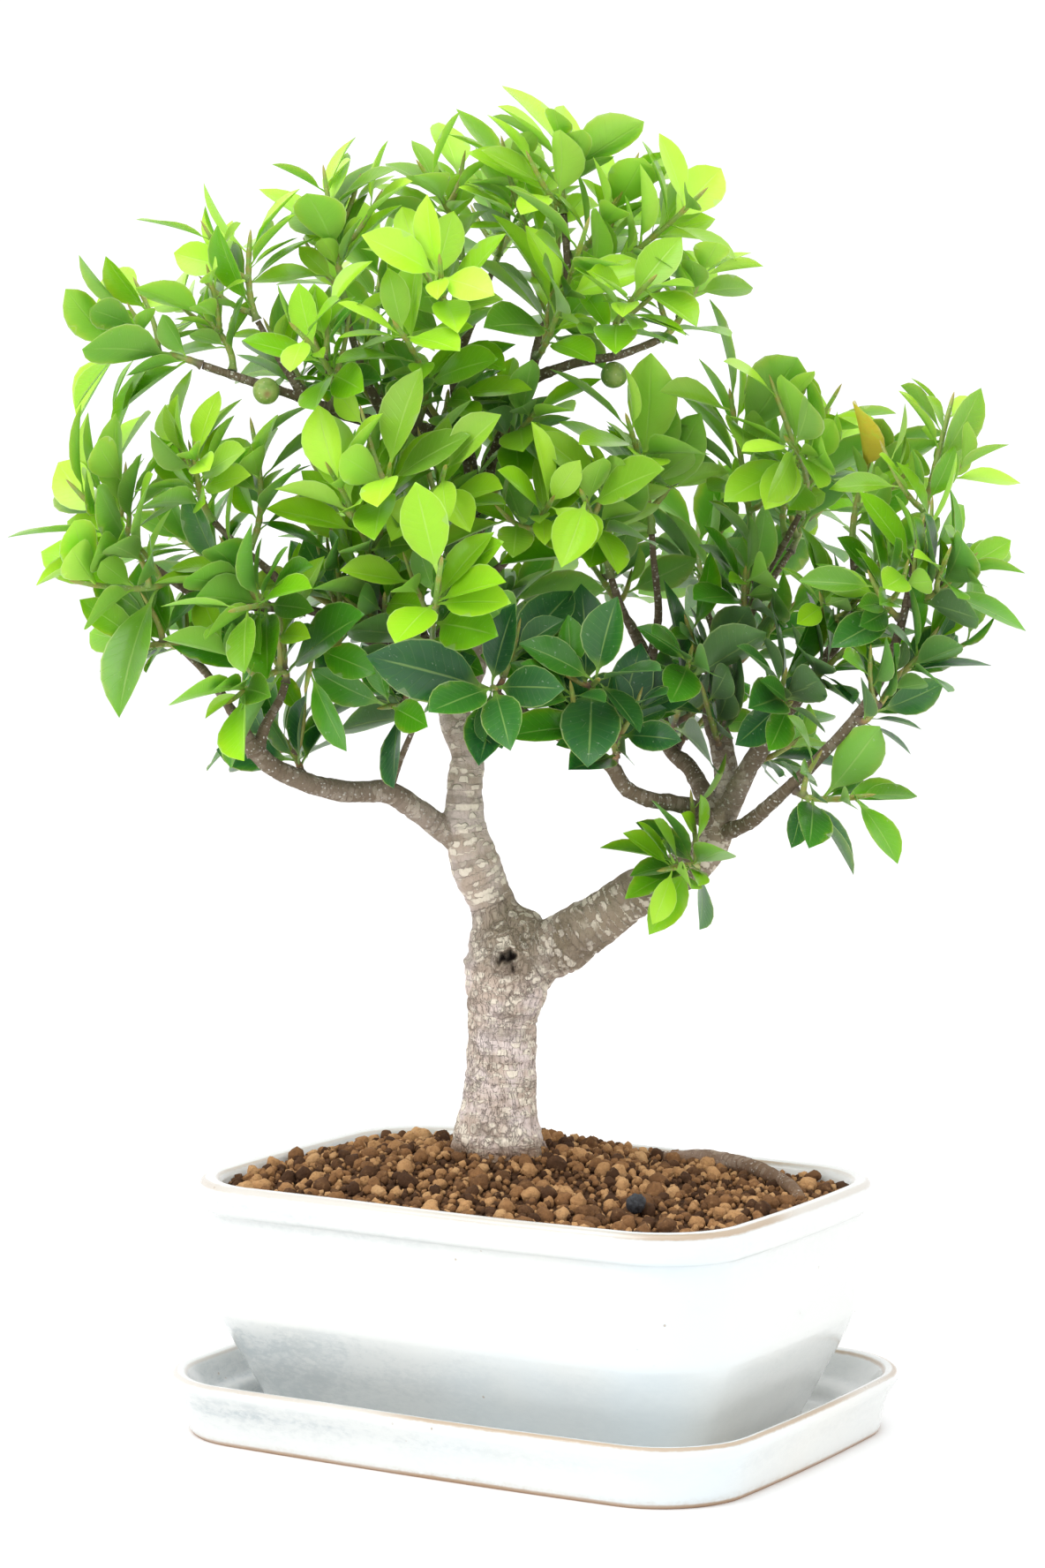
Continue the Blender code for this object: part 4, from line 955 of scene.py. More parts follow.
def cylinder_tree(a, b, radius):
    ahead = (b - a).normalized()
    side = ahead.orthogonal().normalized()
    other = ahead.cross(side)
    points = []
    for centre in (a, b):
        for i in range(8):
            angle = math.pi * i / 4
            points.append(centre + (side * math.cos(angle) + other * math.sin(angle)) * radius * 1.05)
    faces = [(i, (i + 1) % 8, 8 + (i + 1) % 8, 8 + i) for i in range(8)]
    faces += [tuple(range(7, -1, -1)), tuple(range(8, 16))]
    return BVHTree.FromPolygons(points, faces)


def facing(base, heart):
    """The way a leaf turns its upper face: up and out of the crown."""
    out = base - heart
    out.z = max(0.0, out.z) * 0.5
    return (out.normalized() * 0.85 + Vector((0, 0, 0.65))).normalized()


def place_leaf(ring_a, ring_b, azimuth, length, heart, blocked, own, rng, spreads, gap):
    """Find a pose for one leaf that touches nothing; None when there is no room."""
    low = middle_of(ring_a)
    high = middle_of(ring_b)
    axis = (high - low).normalized()
    radial0 = (ring_a[0] - low).normalized()
    for attempt in range(14):
        angle = azimuth + rng.uniform(-0.35, 0.35) * (1 + attempt / 4)
        radial = Matrix.Rotation(angle, 3, axis) @ radial0
        spread = rng.uniform(*spreads)
        ahead = (axis * math.cos(spread) + radial * math.sin(spread)).normalized()
        ahead = (ahead + Vector((0, 0, rng.uniform(-0.12, 0.32)))).normalized()
        face = facing(low, heart) + Vector((rng.uniform(-1, 1), rng.uniform(-1, 1), rng.uniform(-1, 1))) * 0.42
        face = face - ahead * face.dot(ahead)
        if face.length < 0.2:
            continue
        size = length * rng.uniform(0.98, 1.28) * (1 - 0.035 * attempt)
        best = max(range(4), key=lambda i: (ring_a[i] + ring_a[(i + 1) % 4] - low * 2).dot(radial))
        base = (ring_a[best] + ring_a[(best + 1) % 4] + ring_b[best] + ring_b[(best + 1) % 4]) / 4
        face.normalize()
        hull = leaf_hull(base, ahead, face, size, gap)
        middle = base + ahead * size * 0.6
        reach = size * 0.7
        near = [other for spot, far, other in blocked if (spot - middle).length < far + reach]
        if any(hull.overlap(other) for other in (*near, *own)):
            continue
        return base, ahead, face, size, (middle, reach, hull)
    return None


def fig_seats(lines):
    """Where each fig leaves its twig, and the way it points."""
    return [seat_on_wood(tree(near), tree(near), lines) for _, near in FIGS]


def blocked_by_wood(lines, fig_radius):
    blocked = []
    for a, b, ra, rb, _ in lines:
        radius = max(ra, rb) + LEAF_GAP
        blocked.append(((a + b) / 2, (b - a).length / 2 + 1.5 * radius, cylinder_tree(a, b, radius)))
    for start, out in fig_seats(lines):
        spot = start + out * fig_radius
        pole = Vector((0, 0, fig_radius + LEAF_GAP))
        blocked.append((spot, 2 * pole.z, cylinder_tree(spot - pole, spot + pole, pole.z)))
    return blocked


def name_number(name, shift):
    return sum(ord(letter) * (k + shift) for k, letter in enumerate(name))


def room_round(name, shoot, rooms, blocked):
    """What a shoot's leaves keep clear of: all that is near, its own parts, and the list every shoot shares."""
    others = blocked + [room for other, room in rooms.items() if other != name]
    return others, [box_tree(shoot["rings"], shoot["bud"], 0.0)], blocked


def lay_out_shoots(fig_radius, side_count, extra_share):
    """Stems first, then every leaf where there is room, then side stems and small leaves in the gaps left."""
    lines = wood_lines()
    blocked = blocked_by_wood(lines, fig_radius)
    shoots = {}
    rooms = {}
    for name, *given in SHOOTS:
        rng = random.Random(SEED + len(name) + sum(ord(letter) for letter in name))
        shoots[name], rooms[name] = bare_shoot(*given, lines, rng)
    for name, near, _, leaves, *_ in SHOOTS:
        rng = random.Random(SEED + name_number(name, 3))
        shoot = shoots[name]
        shoot["heart"] = tree(TOP_HEART if near[0] < 20 and near[2] > 380 else CROWN_HEART)
        grow_leaves(shoot, shoot["heart"], lambda k: shoot["length"] * (1.0 if k < leaves - 2 else 0.86),
                    room_round(name, shoot, rooms, blocked), rng)
    for number, given in enumerate(TUFTS):
        name = f"tuft_{number}"
        rng = random.Random(SEED * 3 + number)
        shoot, room = bare_shoot(*given, lines, rng)
        shoot["heart"] = tree(CROWN_HEART)
        grow_leaves(shoot, shoot["heart"], lambda k: shoot["length"],
                    room_round(name, shoot, rooms, blocked), rng, (0.5, 1.1))
        shoots[name], rooms[name] = shoot, room
    for name, shoot in shoots.items():
        rng = random.Random(SEED * 7 + name_number(name, 5))
        room = room_round(name, shoot, rooms, blocked)
        for k in range(side_count):
            side = grow_side(shoot, (k + rng.random()) / side_count, room, rng)
            if side:
                shoot["sides"].append(side)
        fill_gaps(shoot, extra_share, room, rng)
    return shoots


def grow_leaves(stem, heart, size_at, room, rng, spreads=None):
    """Hang a stem's leaves from the tip down, each a golden angle on from the last."""
    count = (len(stem["rings"]) - 1) // 2
    azimuth = rng.uniform(0, 2 * math.pi)
    for k in reversed(range(count)):
        azimuth += GOLDEN_ANGLE
        hang_leaf(stem, k, k / max(1, count - 1), azimuth, size_at(k), heart, room, rng, spreads)


def hang_leaf(stem, k, share, azimuth, size, heart, room, rng, spreads=None):
    """Hang a leaf at joint k if there is room; one with spreads of its own only fills a gap inside the frame."""
    others, own, blocked = room
    low, high = stem["rings"][1 + 2 * k:3 + 2 * k]
    spot = place_leaf(low, high, azimuth, size, heart, others, own, rng, spreads or (0.55, 1.05),
                      TIGHT_GAP if spreads else LEAF_GAP)
    if spot and (not spreads or inside_frame(spot)):
        stem["leaves"].append((*spot[:4], share))
        own.append(spot[4][2])
        blocked.append(spot[4])
        others.append(spot[4])


def inside_frame(spot):
    """Whether a leaf stays about where the frame's own leaves reach."""
    base, ahead, _, size, _ = spot
    tip = base + ahead * (size * LEAF_REACH)
    return all(CAD_BOX[0][k] - FRAME_SLACK < tip[k] < CAD_BOX[1][k] + FRAME_SLACK for k in range(3))


def grow_side(shoot, share, room, rng):
    """A short side stem with its own tuft of leaves, or None when there is no room for it."""
    others, _, blocked = room
    seat, ahead = bend_at(shoot["way"], 0.12 + 0.66 * share)
    stray = Vector((rng.uniform(-1, 1), rng.uniform(-1, 1), rng.uniform(-0.6, 1)))
    out = square_to(ahead, facing(seat, shoot["heart"]) + stray)
    way = (ahead * 0.45 + out * 0.85 + Vector((0, 0, 0.35))).normalized()
    reach = rng.uniform(0.014, 0.028)
    first = seat + out * STEM_RADIUS
    side = bare_stem(first, out, first + way * reach, rng.choice((4, 5, 5)), 0.85, rng)
    stem = box_tree(side["rings"], side["bud"], 0.0)
    if any(stem.overlap(other) for spot, far, other in others if (spot - first).length < far + reach + 0.006):
        return None
    side["youth"] = min(1.0, shoot["youth"] + rng.uniform(0.0, 0.22))
    grow_leaves(side, shoot["heart"], lambda k: shoot["length"] * rng.uniform(0.66, 0.92),
                (others, [stem], blocked), rng, (0.45, 0.95))
    if not side["leaves"]:
        return None
    for held in (blocked, others):
        held.append(((first + side["bud"]) / 2, reach, stem))
    return side


def fill_gaps(shoot, extra_share, room, rng):
    """Smaller leaves set between the main ones, where they touch nothing."""
    count = (len(shoot["rings"]) - 1) // 2
    for _ in range(round(count * extra_share)):
        k = min(count - 1, int(rng.random() ** 0.7 * count))
        size = shoot["length"] * rng.uniform(0.62, 0.95)
        hang_leaf(shoot, k, k / max(1, count - 1) + 0.12, rng.uniform(0, 2 * math.pi), size, shoot["heart"],
                  room, rng, (0.55, 1.1))


# ---------------------------------------------------------------- growing rules

def new_rule(name, inputs):
    """A Geometry Nodes tree with named inputs; returns it with its sheet and its input node."""
    group = bpy.data.node_groups.new(name, "GeometryNodeTree")
    face = group.interface
    face.new_socket("Geometry", in_out="INPUT", socket_type="NodeSocketGeometry")
    for label, kind in inputs:
        face.new_socket(label, in_out="INPUT", socket_type="NodeSocket" + kind)
    face.new_socket("Geometry", in_out="OUTPUT", socket_type="NodeSocketGeometry")
    sheet = Sheet(group)
    return group, sheet, sheet.add("NodeGroupInput")


def grow(piece, group, given):
    """Run a rule on a piece with the inputs given and keep what it makes as a plain mesh."""
    step = piece.modifiers.new(group.name, "NODES")
    step.node_group = group
    for item in group.interface.items_tree:
        if item.in_out == "INPUT" and item.name in given:
            step[item.identifier] = given[item.name]
    bake_modifiers(piece)


def named(sheet, name, kind="FLOAT"):
    return sheet.add("GeometryNodeInputNamedAttribute", {"data_type": kind}, {"Name": name}).out("Attribute")


def chance(sheet, seed):
    """A number from 0 to 1 for every point."""
    return sheet.add("FunctionNodeRandomValue", {"data_type": "FLOAT"}, {"Seed": seed}).out(1)


def set_on_points(sheet, points, shelf, sockets):
    """Set one of a shelf's patterns on every point."""
    kinds = sheet.add("GeometryNodeCollectionInfo", None, {
        0: shelf, "Separate Children": True, "Reset Children": True}).out(0)
    return sheet.add("GeometryNodeInstanceOnPoints", None, {
        0: points, "Instance": kinds, "Pick Instance": True, **sockets}).out(0)


def made_real(sheet, geometry, material):
    whole = sheet.add("GeometryNodeRealizeInstances", None, {0: geometry}).out(0)
    return sheet.add("GeometryNodeSetMaterial", None, {0: whole, "Material": material}).out(0)


def shoot_rule():
    """Thicken a stem line into a stem and hang a leaf on every seat point."""
    group, s, start = new_rule("grow_shoot", (
        ("Leaves", "Collection"), ("Stem Sides", "Int"), ("Stem Material", "Material"),
        ("Leaf Material", "Material")))
    parts = s.add("GeometryNodeSeparateGeometry", {"domain": "POINT"}, {
        0: start.out("Geometry"), "Selection": named(s, "seat")})
    line = s.add("GeometryNodeMeshToCurve", None, {0: parts.out("Inverted")}).out(0)
    ring = s.add("GeometryNodeCurvePrimitiveCircle", None, {
        "Resolution": start.out("Stem Sides"), "Radius": 1.0}).out(0)
    stem = s.add("GeometryNodeCurveToMesh", None, {
        0: line, 1: ring, "Scale": named(s, "thick"), "Fill Caps": True}).out(0)
    hung = set_on_points(s, parts.out("Selection"), start.out("Leaves"), {
        "Instance Index": named(s, "kind", "INT"), "Rotation": named(s, "turn", "FLOAT_VECTOR"),
        "Scale": named(s, "size")})
    whole = s.add("GeometryNodeJoinGeometry", None, {0: [hung, stem]}).out(0)
    whole = made_real(s, whole, start.out("Leaf Material"))
    whole = s.add("GeometryNodeSetMaterial", None, {
        0: whole, "Selection": named(s, "stalk"), "Material": start.out("Stem Material")}).out(0)
    s.add("NodeGroupOutput", None, {0: whole})
    return group


def grit_rule():
    """Scatter lumps of many sizes over a bed, turned every way and half sunk into it."""
    group, s, start = new_rule("scatter_grit", (
        ("Lumps", "Collection"), ("Spacing", "Float"), ("Smallest", "Float"), ("Largest", "Float"),
        ("Lift", "Float"), ("Seed", "Int"), ("Material", "Material")))
    spacing = start.out("Spacing")
    seed = start.out("Seed")
    spots = s.add("GeometryNodeDistributePointsOnFaces", {"distribute_method": "POISSON"}, {
        0: start.out("Geometry"), "Selection": named(s, "bed") - 0.5, "Distance Min": spacing,
        "Density Max": 5.0 / (spacing * spacing), "Seed": seed}).out(0)
    spots = s.add("GeometryNodeStoreNamedAttribute", {"data_type": "FLOAT", "domain": "POINT"}, {
        "Geometry": spots, "Name": "grain", "Value": chance(s, seed + 1.0)}).out(0)
    size = start.out("Smallest") + (start.out("Largest") - start.out("Smallest")) * chance(s, seed + 2.0) ** 1.8
    raised = s.add("ShaderNodeCombineXYZ", None, {2: size * start.out("Lift")}).out(0)
    spots = s.add("GeometryNodeSetPosition", None, {0: spots, "Offset": raised}).out(0)
    turn = s.add("FunctionNodeRandomValue", {"data_type": "FLOAT_VECTOR"}, {
        0: (0.0, 0.0, 0.0), 1: (6.28, 6.28, 6.28), "Seed": seed + 3.0}).out(0)
    pick = s.add("FunctionNodeRandomValue", {"data_type": "INT"}, {
        4: 0, 5: LUMP_KINDS - 1, "Seed": seed + 4.0}).out(2)
    whole = set_on_points(s, spots, start.out("Lumps"), {"Instance Index": pick, "Rotation": turn, "Scale": size})
    s.add("NodeGroupOutput", None, {0: made_real(s, whole, start.out("Material"))})
    return group


def patterns(name, meshes):
    """Keep the few shapes that a rule repeats together, out of the scene."""
    shelf = bpy.data.collections.new(name)
    for k, mesh in enumerate(meshes):
        shelf.objects.link(bpy.data.objects.new(f"{name}_{k}", mesh))
    return shelf


def put_away(shelf):
    for item in list(shelf.objects):
        bpy.data.objects.remove(item)
    bpy.data.collections.remove(shelf)


# ---------------------------------------------------------------- shapes that repeat

# Half-width of a leaf's blade along its length, in shares of the leaf
BLADE = ((0.0, 0.030), (0.05, 0.060), (0.13, 0.135), (0.26, 0.225), (0.42, 0.284), (0.58, 0.292),
         (0.73, 0.252), (0.85, 0.172), (0.935, 0.078), (1.0, 0.004))


def leaf_mesh(name, rng, curl, fold):
    """One leaf, one unit from its seat to most of the way along: stalk, cupped blade and point."""
    wide = rng.uniform(0.90, 1.10)
    sweep = rng.uniform(-0.05, 0.05)
    wave = rng.uniform(0.4, 1.3)
    phase = rng.uniform(0, 6)
    steps = (-1.0, -0.5, 0.0, 0.5, 1.0)
    bm = bmesh.new()
    under = bm.faces.layers.float.new("under")
    uv = bm.loops.layers.uv.new("leaf")
    sheets = []
    for thick in (0.006, -0.006):
        rows = []
        for t, half in BLADE:
            share = 0.17 + 1.01 * t
            droop = LEAF_DROOP * curl * t ** 1.6
            row = []
            for u in steps:
                rim = abs(u) == 1.0
                ripple = 0.011 * wave * math.sin(7.5 * t + phase + (u > 0) * 1.9) * abs(u) ** 2
                rise = half * wide * (fold * abs(u) ** 1.3) + ripple * math.sin(math.pi * t)
                x = u * half * wide * (1 - 0.10 * fold) + sweep * t * t
                z = rise - droop + (0.0 if rim else thick * (1 - 0.6 * t))
                if rim and thick < 0:
                    row.append(sheets[0][len(rows)][0 if u < 0 else -1])
                else:
                    row.append(bm.verts.new((x, share, z)))
            rows.append(row)
        sheets.append(rows)
    for rows, below in zip(sheets, (0.0, 1.0)):
        for k in range(len(rows) - 1):
            for i in range(len(steps) - 1):
                corners = (rows[k][i], rows[k][i + 1], rows[k + 1][i + 1], rows[k + 1][i])
                places = ((i, k), (i + 1, k), (i + 1, k + 1), (i, k + 1))
                if below:
                    corners, places = corners[::-1], places[::-1]
                face = bm.faces.new(corners)
                face[under] = below
                for loop, (a, b) in zip(face.loops, places):
                    loop[uv].uv = (0.5 + 0.5 * steps[a], BLADE[b][0])
    grow_stalk(bm, sheets, uv)
    return mesh_from(name, bm)


def grow_stalk(bm, sheets, uv):
    """Close the blade's foot and run its stalk back to the seat."""
    loop_foot, loop_tip = ([*sheets[0][end], *reversed(sheets[1][end][1:-1])] for end in (0, -1))
    seat = [bm.verts.new((v.co.x * 0.55, 0.0, v.co.z * 1.3 - 0.004)) for v in loop_foot]
    middle = [bm.verts.new((v.co.x * 0.62, 0.09, v.co.z * 1.4 + 0.006)) for v in loop_foot]
    count = len(loop_foot)
    for low, high in ((seat, middle), (middle, loop_foot)):
        for i in range(count):
            j = (i + 1) % count
            face = bm.faces.new((low[i], high[i], high[j], low[j]))
            for loop in face.loops:
                loop[uv].uv = (0.5, 0.0)
    bm.faces.new(seat)
    face = bm.faces.new(loop_tip)
    for loop in face.loops:
        loop[uv].uv = (0.5, 1.0)


def lump_mesh(name, rng, across, up):
    """A rough porous lump one unit in radius, with only a few dozen faces."""
    bm = bmesh.new()
    bmesh.ops.create_uvsphere(bm, u_segments=across, v_segments=up, radius=1.0)
    shift = Vector((rng.uniform(0, 50), rng.uniform(0, 50), rng.uniform(0, 50)))
    squash = Vector((rng.uniform(0.8, 1.1), rng.uniform(0.75, 1.0), rng.uniform(0.6, 0.85)))
    for vert in bm.verts:
        vert.co *= 0.92 + 0.30 * noise.noise(vert.co * 1.5 + shift) + 0.16 * noise.noise(vert.co * 4.0 + shift)
        vert.co *= squash
    return mesh_from(name, bm)


# ---------------------------------------------------------------- what the user can change

def size_property(label, note, default, low, high):
    return FloatProperty(name=label, description=note, default=default, min=low, max=high,
                         subtype="DISTANCE", unit="LENGTH", precision=4)


def share_property(label, note, default, low=0.0, high=2.0):
    return FloatProperty(name=label, description=note, default=default, min=low, max=high, subtype="FACTOR")


def colour_property(label, note, default):
    return FloatVectorProperty(name=label, description=note, default=default, size=3, min=0.0, max=1.0,
                               subtype="COLOR")


class BonsaiSizes(bpy.types.PropertyGroup):
    """Sizes of the dressed tree that leave its frame as it is."""
    hand_waver: share_property("Hand waver", "How far the thrown ware strays from true", 1.0)
    coarse_spacing: size_property("Coarse grit spacing", "Least gap between coarse lumps", 0.0060, 0.002, 0.02)
    coarse_largest: size_property("Largest lump", "Radius of the largest lump", 0.0045, 0.001, 0.008)
    fine_spacing: size_property("Fine grit spacing", "Least gap between fine lumps", 0.0032, 0.001, 0.01)
    fine_largest: size_property("Largest fine lump", "Radius of the largest fine lump", 0.0023, 0.0005, 0.004)
    bark_voxel: size_property("Bark fineness", "Size of the steps the bark is shaped in", 0.00075, 0.0004, 0.003)
    bark_relief: share_property("Bark relief", "Height of the lumps and rings on the bark", 1.0)
    leaf_curl: share_property("Leaf curl", "How far the leaves arch down to their points", 1.0)
    leaf_fold: share_property("Leaf fold", "How far the leaves are cupped along the midrib", 0.30, 0.0, 1.0)
    extra_leaves: share_property("Extra leaves", "Small leaves tried for each leaf of the frame", 1.4, 0.0, 4.0)
    side_stems: IntProperty(name="Side stems", description="Short side stems tried on each shoot", default=4,
                            min=0, max=12)
    stem_sides: IntProperty(name="Stem sides", description="Sides of a green stem", default=8, min=3, max=32)
    fig_radius: size_property("Fig radius", "Radius of a green fig", 0.0052, 0.001, 0.02)
    floor_radius: size_property("Floor radius", "How far the studio floor reaches", 9.0, 1.0, 50.0)


class BonsaiColours(bpy.types.PropertyGroup):
    """Colours of the finishes, linear."""
    glaze_colour: colour_property("Glaze", "White glaze", (0.735, 0.75, 0.735))
    # The pooled glaze colour also serves as painted shade under the rim, on the bevels and on the left side
    glaze_pool_and_shade_colour: colour_property("Pooled glaze", "Where the glaze lies thick", (0.44, 0.49, 0.51))
    glaze_break_colour: colour_property("Glaze break", "Clay showing at sharp edges", (0.42, 0.30, 0.19))
    bare_clay_colour: colour_property("Bare clay", "Unglazed foot", (0.40, 0.25, 0.15))
    grain_dark: colour_property("Dark grit", "Darkest lumps", (0.105, 0.052, 0.026))
    grain_mid: colour_property("Grit", "Usual lumps", (0.30, 0.150, 0.062))
    grain_light: colour_property("Pale grit", "Palest lumps", (0.56, 0.315, 0.140))
    twig_colour: colour_property("Twig", "Young bark", (0.150, 0.110, 0.080))
    bark_colour: colour_property("Bark", "Old bark", (0.68, 0.55, 0.46))
    bark_pale: colour_property("Pale bark", "Dry outer bark", (0.92, 0.80, 0.77))
    bark_dark: colour_property("Dark bark", "Bark in the furrows", (0.075, 0.052, 0.036))
    lenticel_colour: colour_property("Corky bands", "Raised corky bands", (0.97, 0.88, 0.74))
    leaf_old: colour_property("Old leaf", "Leaves low in the crown", (0.022, 0.100, 0.030))
    leaf_grown: colour_property("Grown leaf", "Full-grown leaves", (0.075, 0.300, 0.006))
    leaf_fresh: colour_property("Fresh leaf", "Young leaves", (0.250, 0.580, 0.007))
    leaf_new: colour_property("New leaf", "Newest leaves", (0.420, 0.790, 0.030))
    stem_colour: colour_property("Stem", "Green stems", (0.30, 0.44, 0.10))
    scale_colour: colour_property("Bud scale", "Scales at the buds", (0.50, 0.24, 0.07))
    floor_colour: colour_property("Floor", "Studio floor", (0.94, 0.94, 0.94))


def sizes():
    return bpy.context.scene.bonsai_sizes


def colours():
    return bpy.context.scene.bonsai_colours


# ---------------------------------------------------------------- ware

# Levels of the ware up the outside and down the inside: inset, height, then how far the glaze breaks at the edge,
# how far it pools and is painted with shade in the recesses, and how bare the clay is
POT_LEVELS = (
    (0.033, 0.0083, 0, 0, 1), (0.032, POT_BASE, 0, 0, 1), (0.024, POT_BASE, 0, 0, 1),
    (0.0232, 0.0072, 0.3, 0, 1), (0.0228, 0.0083, 0.9, 0, 0.35), (0.0222, 0.0100, 0.3, 0.1, 0),
    (0.0180, 0.0190, 0, 0.45, 0), (0.0100, 0.0365, 0, 0.65, 0), (0.0072, 0.0430, 0.1, 0.7, 0),
    (0.0056, 0.0474, 0.25, 0.4, 0), (0.0050, 0.0490, 0.15, 0.1, 0), (0.0047, 0.0515, 0.0, 0.0, 0),
    (0.0036, 0.0700, 0, 0.0, 0), (0.0026, 0.0860, 0, 0.30, 0), (0.0024, 0.0884, 0, 0.5, 0),
    (0.0016, 0.0893, 0.1, 0.4, 0), (0.0005, 0.0899, 0.30, 0.4, 0), (0.0002, 0.0911, 0.1, 0.4, 0),
    (0.0, 0.0945, 0, 0.5, 0), (0.0, 0.0980, 0.1, 0.2, 0), (0.0002, 0.0994, 0.60, 0, 0),
    (0.0009, 0.1007, 1.0, 0, 0), (0.0020, 0.1013, 0.5, 0, 0), (0.0034, 0.1014, 0.1, 0.1, 0),
    (0.0048, 0.1013, 0.1, 0, 0), (0.0058, 0.1008, 0.75, 0, 0), (0.0068, 0.0996, 0.4, 0.2, 0),
    (0.0074, 0.0975, 0.1, 0.3, 0), (0.0090, 0.0934, 0, 0.5, 0), (0.0135, 0.0500, 0, 0.2, 0.5),
    (0.0265, 0.0210, 0, 0, 1), (0.0315, POT_INSIDE, 0, 0, 1))

TRAY_LEVELS = (
    (0.0066, 0.0, 0, 0, 1), (0.0061, 0.0006, 0.95, 0, 0.8), (0.0055, 0.0020, 0.45, 0, 0),
    (0.0044, 0.0110, 0, 0.45, 0), (0.0030, 0.0150, 0, 0.9, 0), (0.0020, 0.0171, 0.25, 0.5, 0),
    (0.0010, 0.0187, 0.25, 0.5, 0), (0.0, 0.0208, 0.1, 0.2, 0), (0.0001, 0.0224, 0.1, 0, 0),
    (0.0004, 0.0236, 0.60, 0, 0), (0.0012, 0.0244, 1.0, 0, 0), (0.0024, 0.0246, 0.2, 0, 0),
    (0.0036, 0.0243, 0.3, 0, 0), (0.0046, 0.0236, 0.80, 0, 0), (0.0054, 0.0220, 0.2, 0.3, 0),
    (0.0092, 0.0150, 0, 0.8, 0), (0.0108, 0.0134, 0.1, 0.9, 0), (0.0125, 0.0125, 0.3, 0.2, 0),
    (0.0145, 0.0104, 0, 0.5, 0), (0.0170, 0.0058, 0, 1.0, 0), (0.0200, 0.0050, 0, 0.6, 0))


def cut_drains(pot):
    """Bore the two drain holes through the pot's floor."""
    tools = []
    for x in (-DRAIN_X, DRAIN_X):
        bm = bmesh.new()
        bmesh.ops.create_cone(bm, cap_ends=True, segments=40, radius1=DRAIN_RADIUS, radius2=DRAIN_RADIUS,
                              depth=0.030, matrix=Matrix.Translation((x, 0, POT_BASE + 0.003)))
        tool = new_object("drain_bit", mesh_from("drain_bit", bm))
        step = pot.modifiers.new("Drain", "BOOLEAN")
        step.operation = "DIFFERENCE"
        step.solver = "EXACT"
        step.object = tool
        tools.append(tool)
    bake_modifiers(pot)
    for tool in tools:
        bpy.data.objects.remove(tool)


class BONSAI_OT_pot(bpy.types.Operator):
    """Build the glazed pot with its rim band, ridge and unglazed foot"""
    bl_idname = "bonsai.pot"
    bl_label = "Pot"

    def execute(self, context):
        pot = build_ware("glazed_pot", POT_LEVELS, POT_HALF, POT_CORNER)
        cut_drains(pot)
        pot.data.set_sharp_from_angle(angle=math.radians(50))
        finish_piece(pot, "glaze", "pot")
        return {"FINISHED"}


class BONSAI_OT_tray(bpy.types.Operator):
    """Build the glazed drip tray under the pot"""
    bl_idname = "bonsai.tray"
    bl_label = "Drip tray"

    def execute(self, context):
        half = [pot + margin for pot, margin in zip(POT_HALF, TRAY_MARGIN)]
        finish_piece(build_ware("glazed_tray", TRAY_LEVELS, half, TRAY_CORNER), "glaze", "drip_tray")
        return {"FINISHED"}


class BONSAI_OT_drain_parts(bpy.types.Operator):
    """Finish the drain screens and the wires that hold them"""
    bl_idname = "bonsai.drain_parts"
    bl_label = "Drain screens"

    def execute(self, context):
        for start, material in (("drain_screen_", plastic_material()), ("screen_wire_", wire_material())):
            for side in ("left", "right"):
                slots = frame["nodes"][start + side].material_slots
                if not slots:
                    raise RuntimeError(start + side + " has no finish to change")
                slots[0].material = material
        return {"FINISHED"}


# ---------------------------------------------------------------- soil

def soil_bed():
    """The bed under the loose grit: a mounded top that follows the collar, closed down to the pot's floor."""
    centre = tree(TRUNK[1][0])
    collar = TRUNK[1][1] * MM
    edge = outline(POT_HALF, POT_CORNER, 0.0072, POT_TOP - SOIL_EDGE)
    rings = [outline(POT_HALF, POT_CORNER, 0.0330, POT_INSIDE + 0.003),
             outline(POT_HALF, POT_CORNER, 0.0140, 0.0510)]
    beds = [0.0, 0.0]
    for share in (k / 30 for k in range(30, -1, -1)):
        ring = []
        for p in edge:
            out = Vector((p.x - centre.x, p.y - centre.y))
            out *= share + (1 - share) * 0.7 * collar / out.length
            x = centre.x + out.x
            y = centre.y + out.y
            sink = ROOT_SINK + (0.0030 if share == 1.0 else 0.0)
            ring.append(Vector((x, y, soil_height(x, y) - sink)))
        rings.append(ring)
        beds.append(1.0 if share < 0.985 else 0.0)
    bm = bmesh.new()
    loft(bm, rings)
    mesh = mesh_from("soil_bed", bm)
    put_attribute(mesh, "bed", [value for value in beds for _ in edge])
    # The bed's low grit tone is dark so that it shows as painted shade in the gaps between the lumps
    put_attribute(mesh, "grain", [0.12] * len(mesh.vertices))
    return mesh


class BONSAI_OT_soil(bpy.types.Operator):
    """Build the soil: a mounded bed with coarse and fine clay grit scattered over it"""
    bl_idname = "bonsai.soil"
    bl_label = "Soil"

    def execute(self, context):
        material = grain_material(colours())
        bed = soil_bed()
        rng = random.Random(SEED)
        coarse, fine = (patterns(name, [lump_mesh(f"{name}_{k}", rng, across, up) for k in range(LUMP_KINDS)])
                        for name, across, up in (("coarse_lump", 10, 7), ("fine_lump", 6, 4)))
        rule = grit_rule()
        look = sizes()
        for name, shelf, spacing, least, most, lift, seed in (
                ("soil_coarse", coarse, look.coarse_spacing, 0.45, look.coarse_largest, 0.55, 3),
                ("soil_fine", fine, look.fine_spacing, 0.5, look.fine_largest, 0.9, 17)):
            piece = new_object(name, bed.copy())
            grow(piece, rule, {"Lumps": shelf, "Spacing": spacing, "Smallest": most * least, "Largest": most,
                               "Lift": lift, "Seed": seed, "Material": material})
            finish_piece(piece, "clay_grit")
            put_away(shelf)
        finish_piece(new_object("soil_bed", bed, [material]), "clay_grit", "soil")
        return {"FINISHED"}


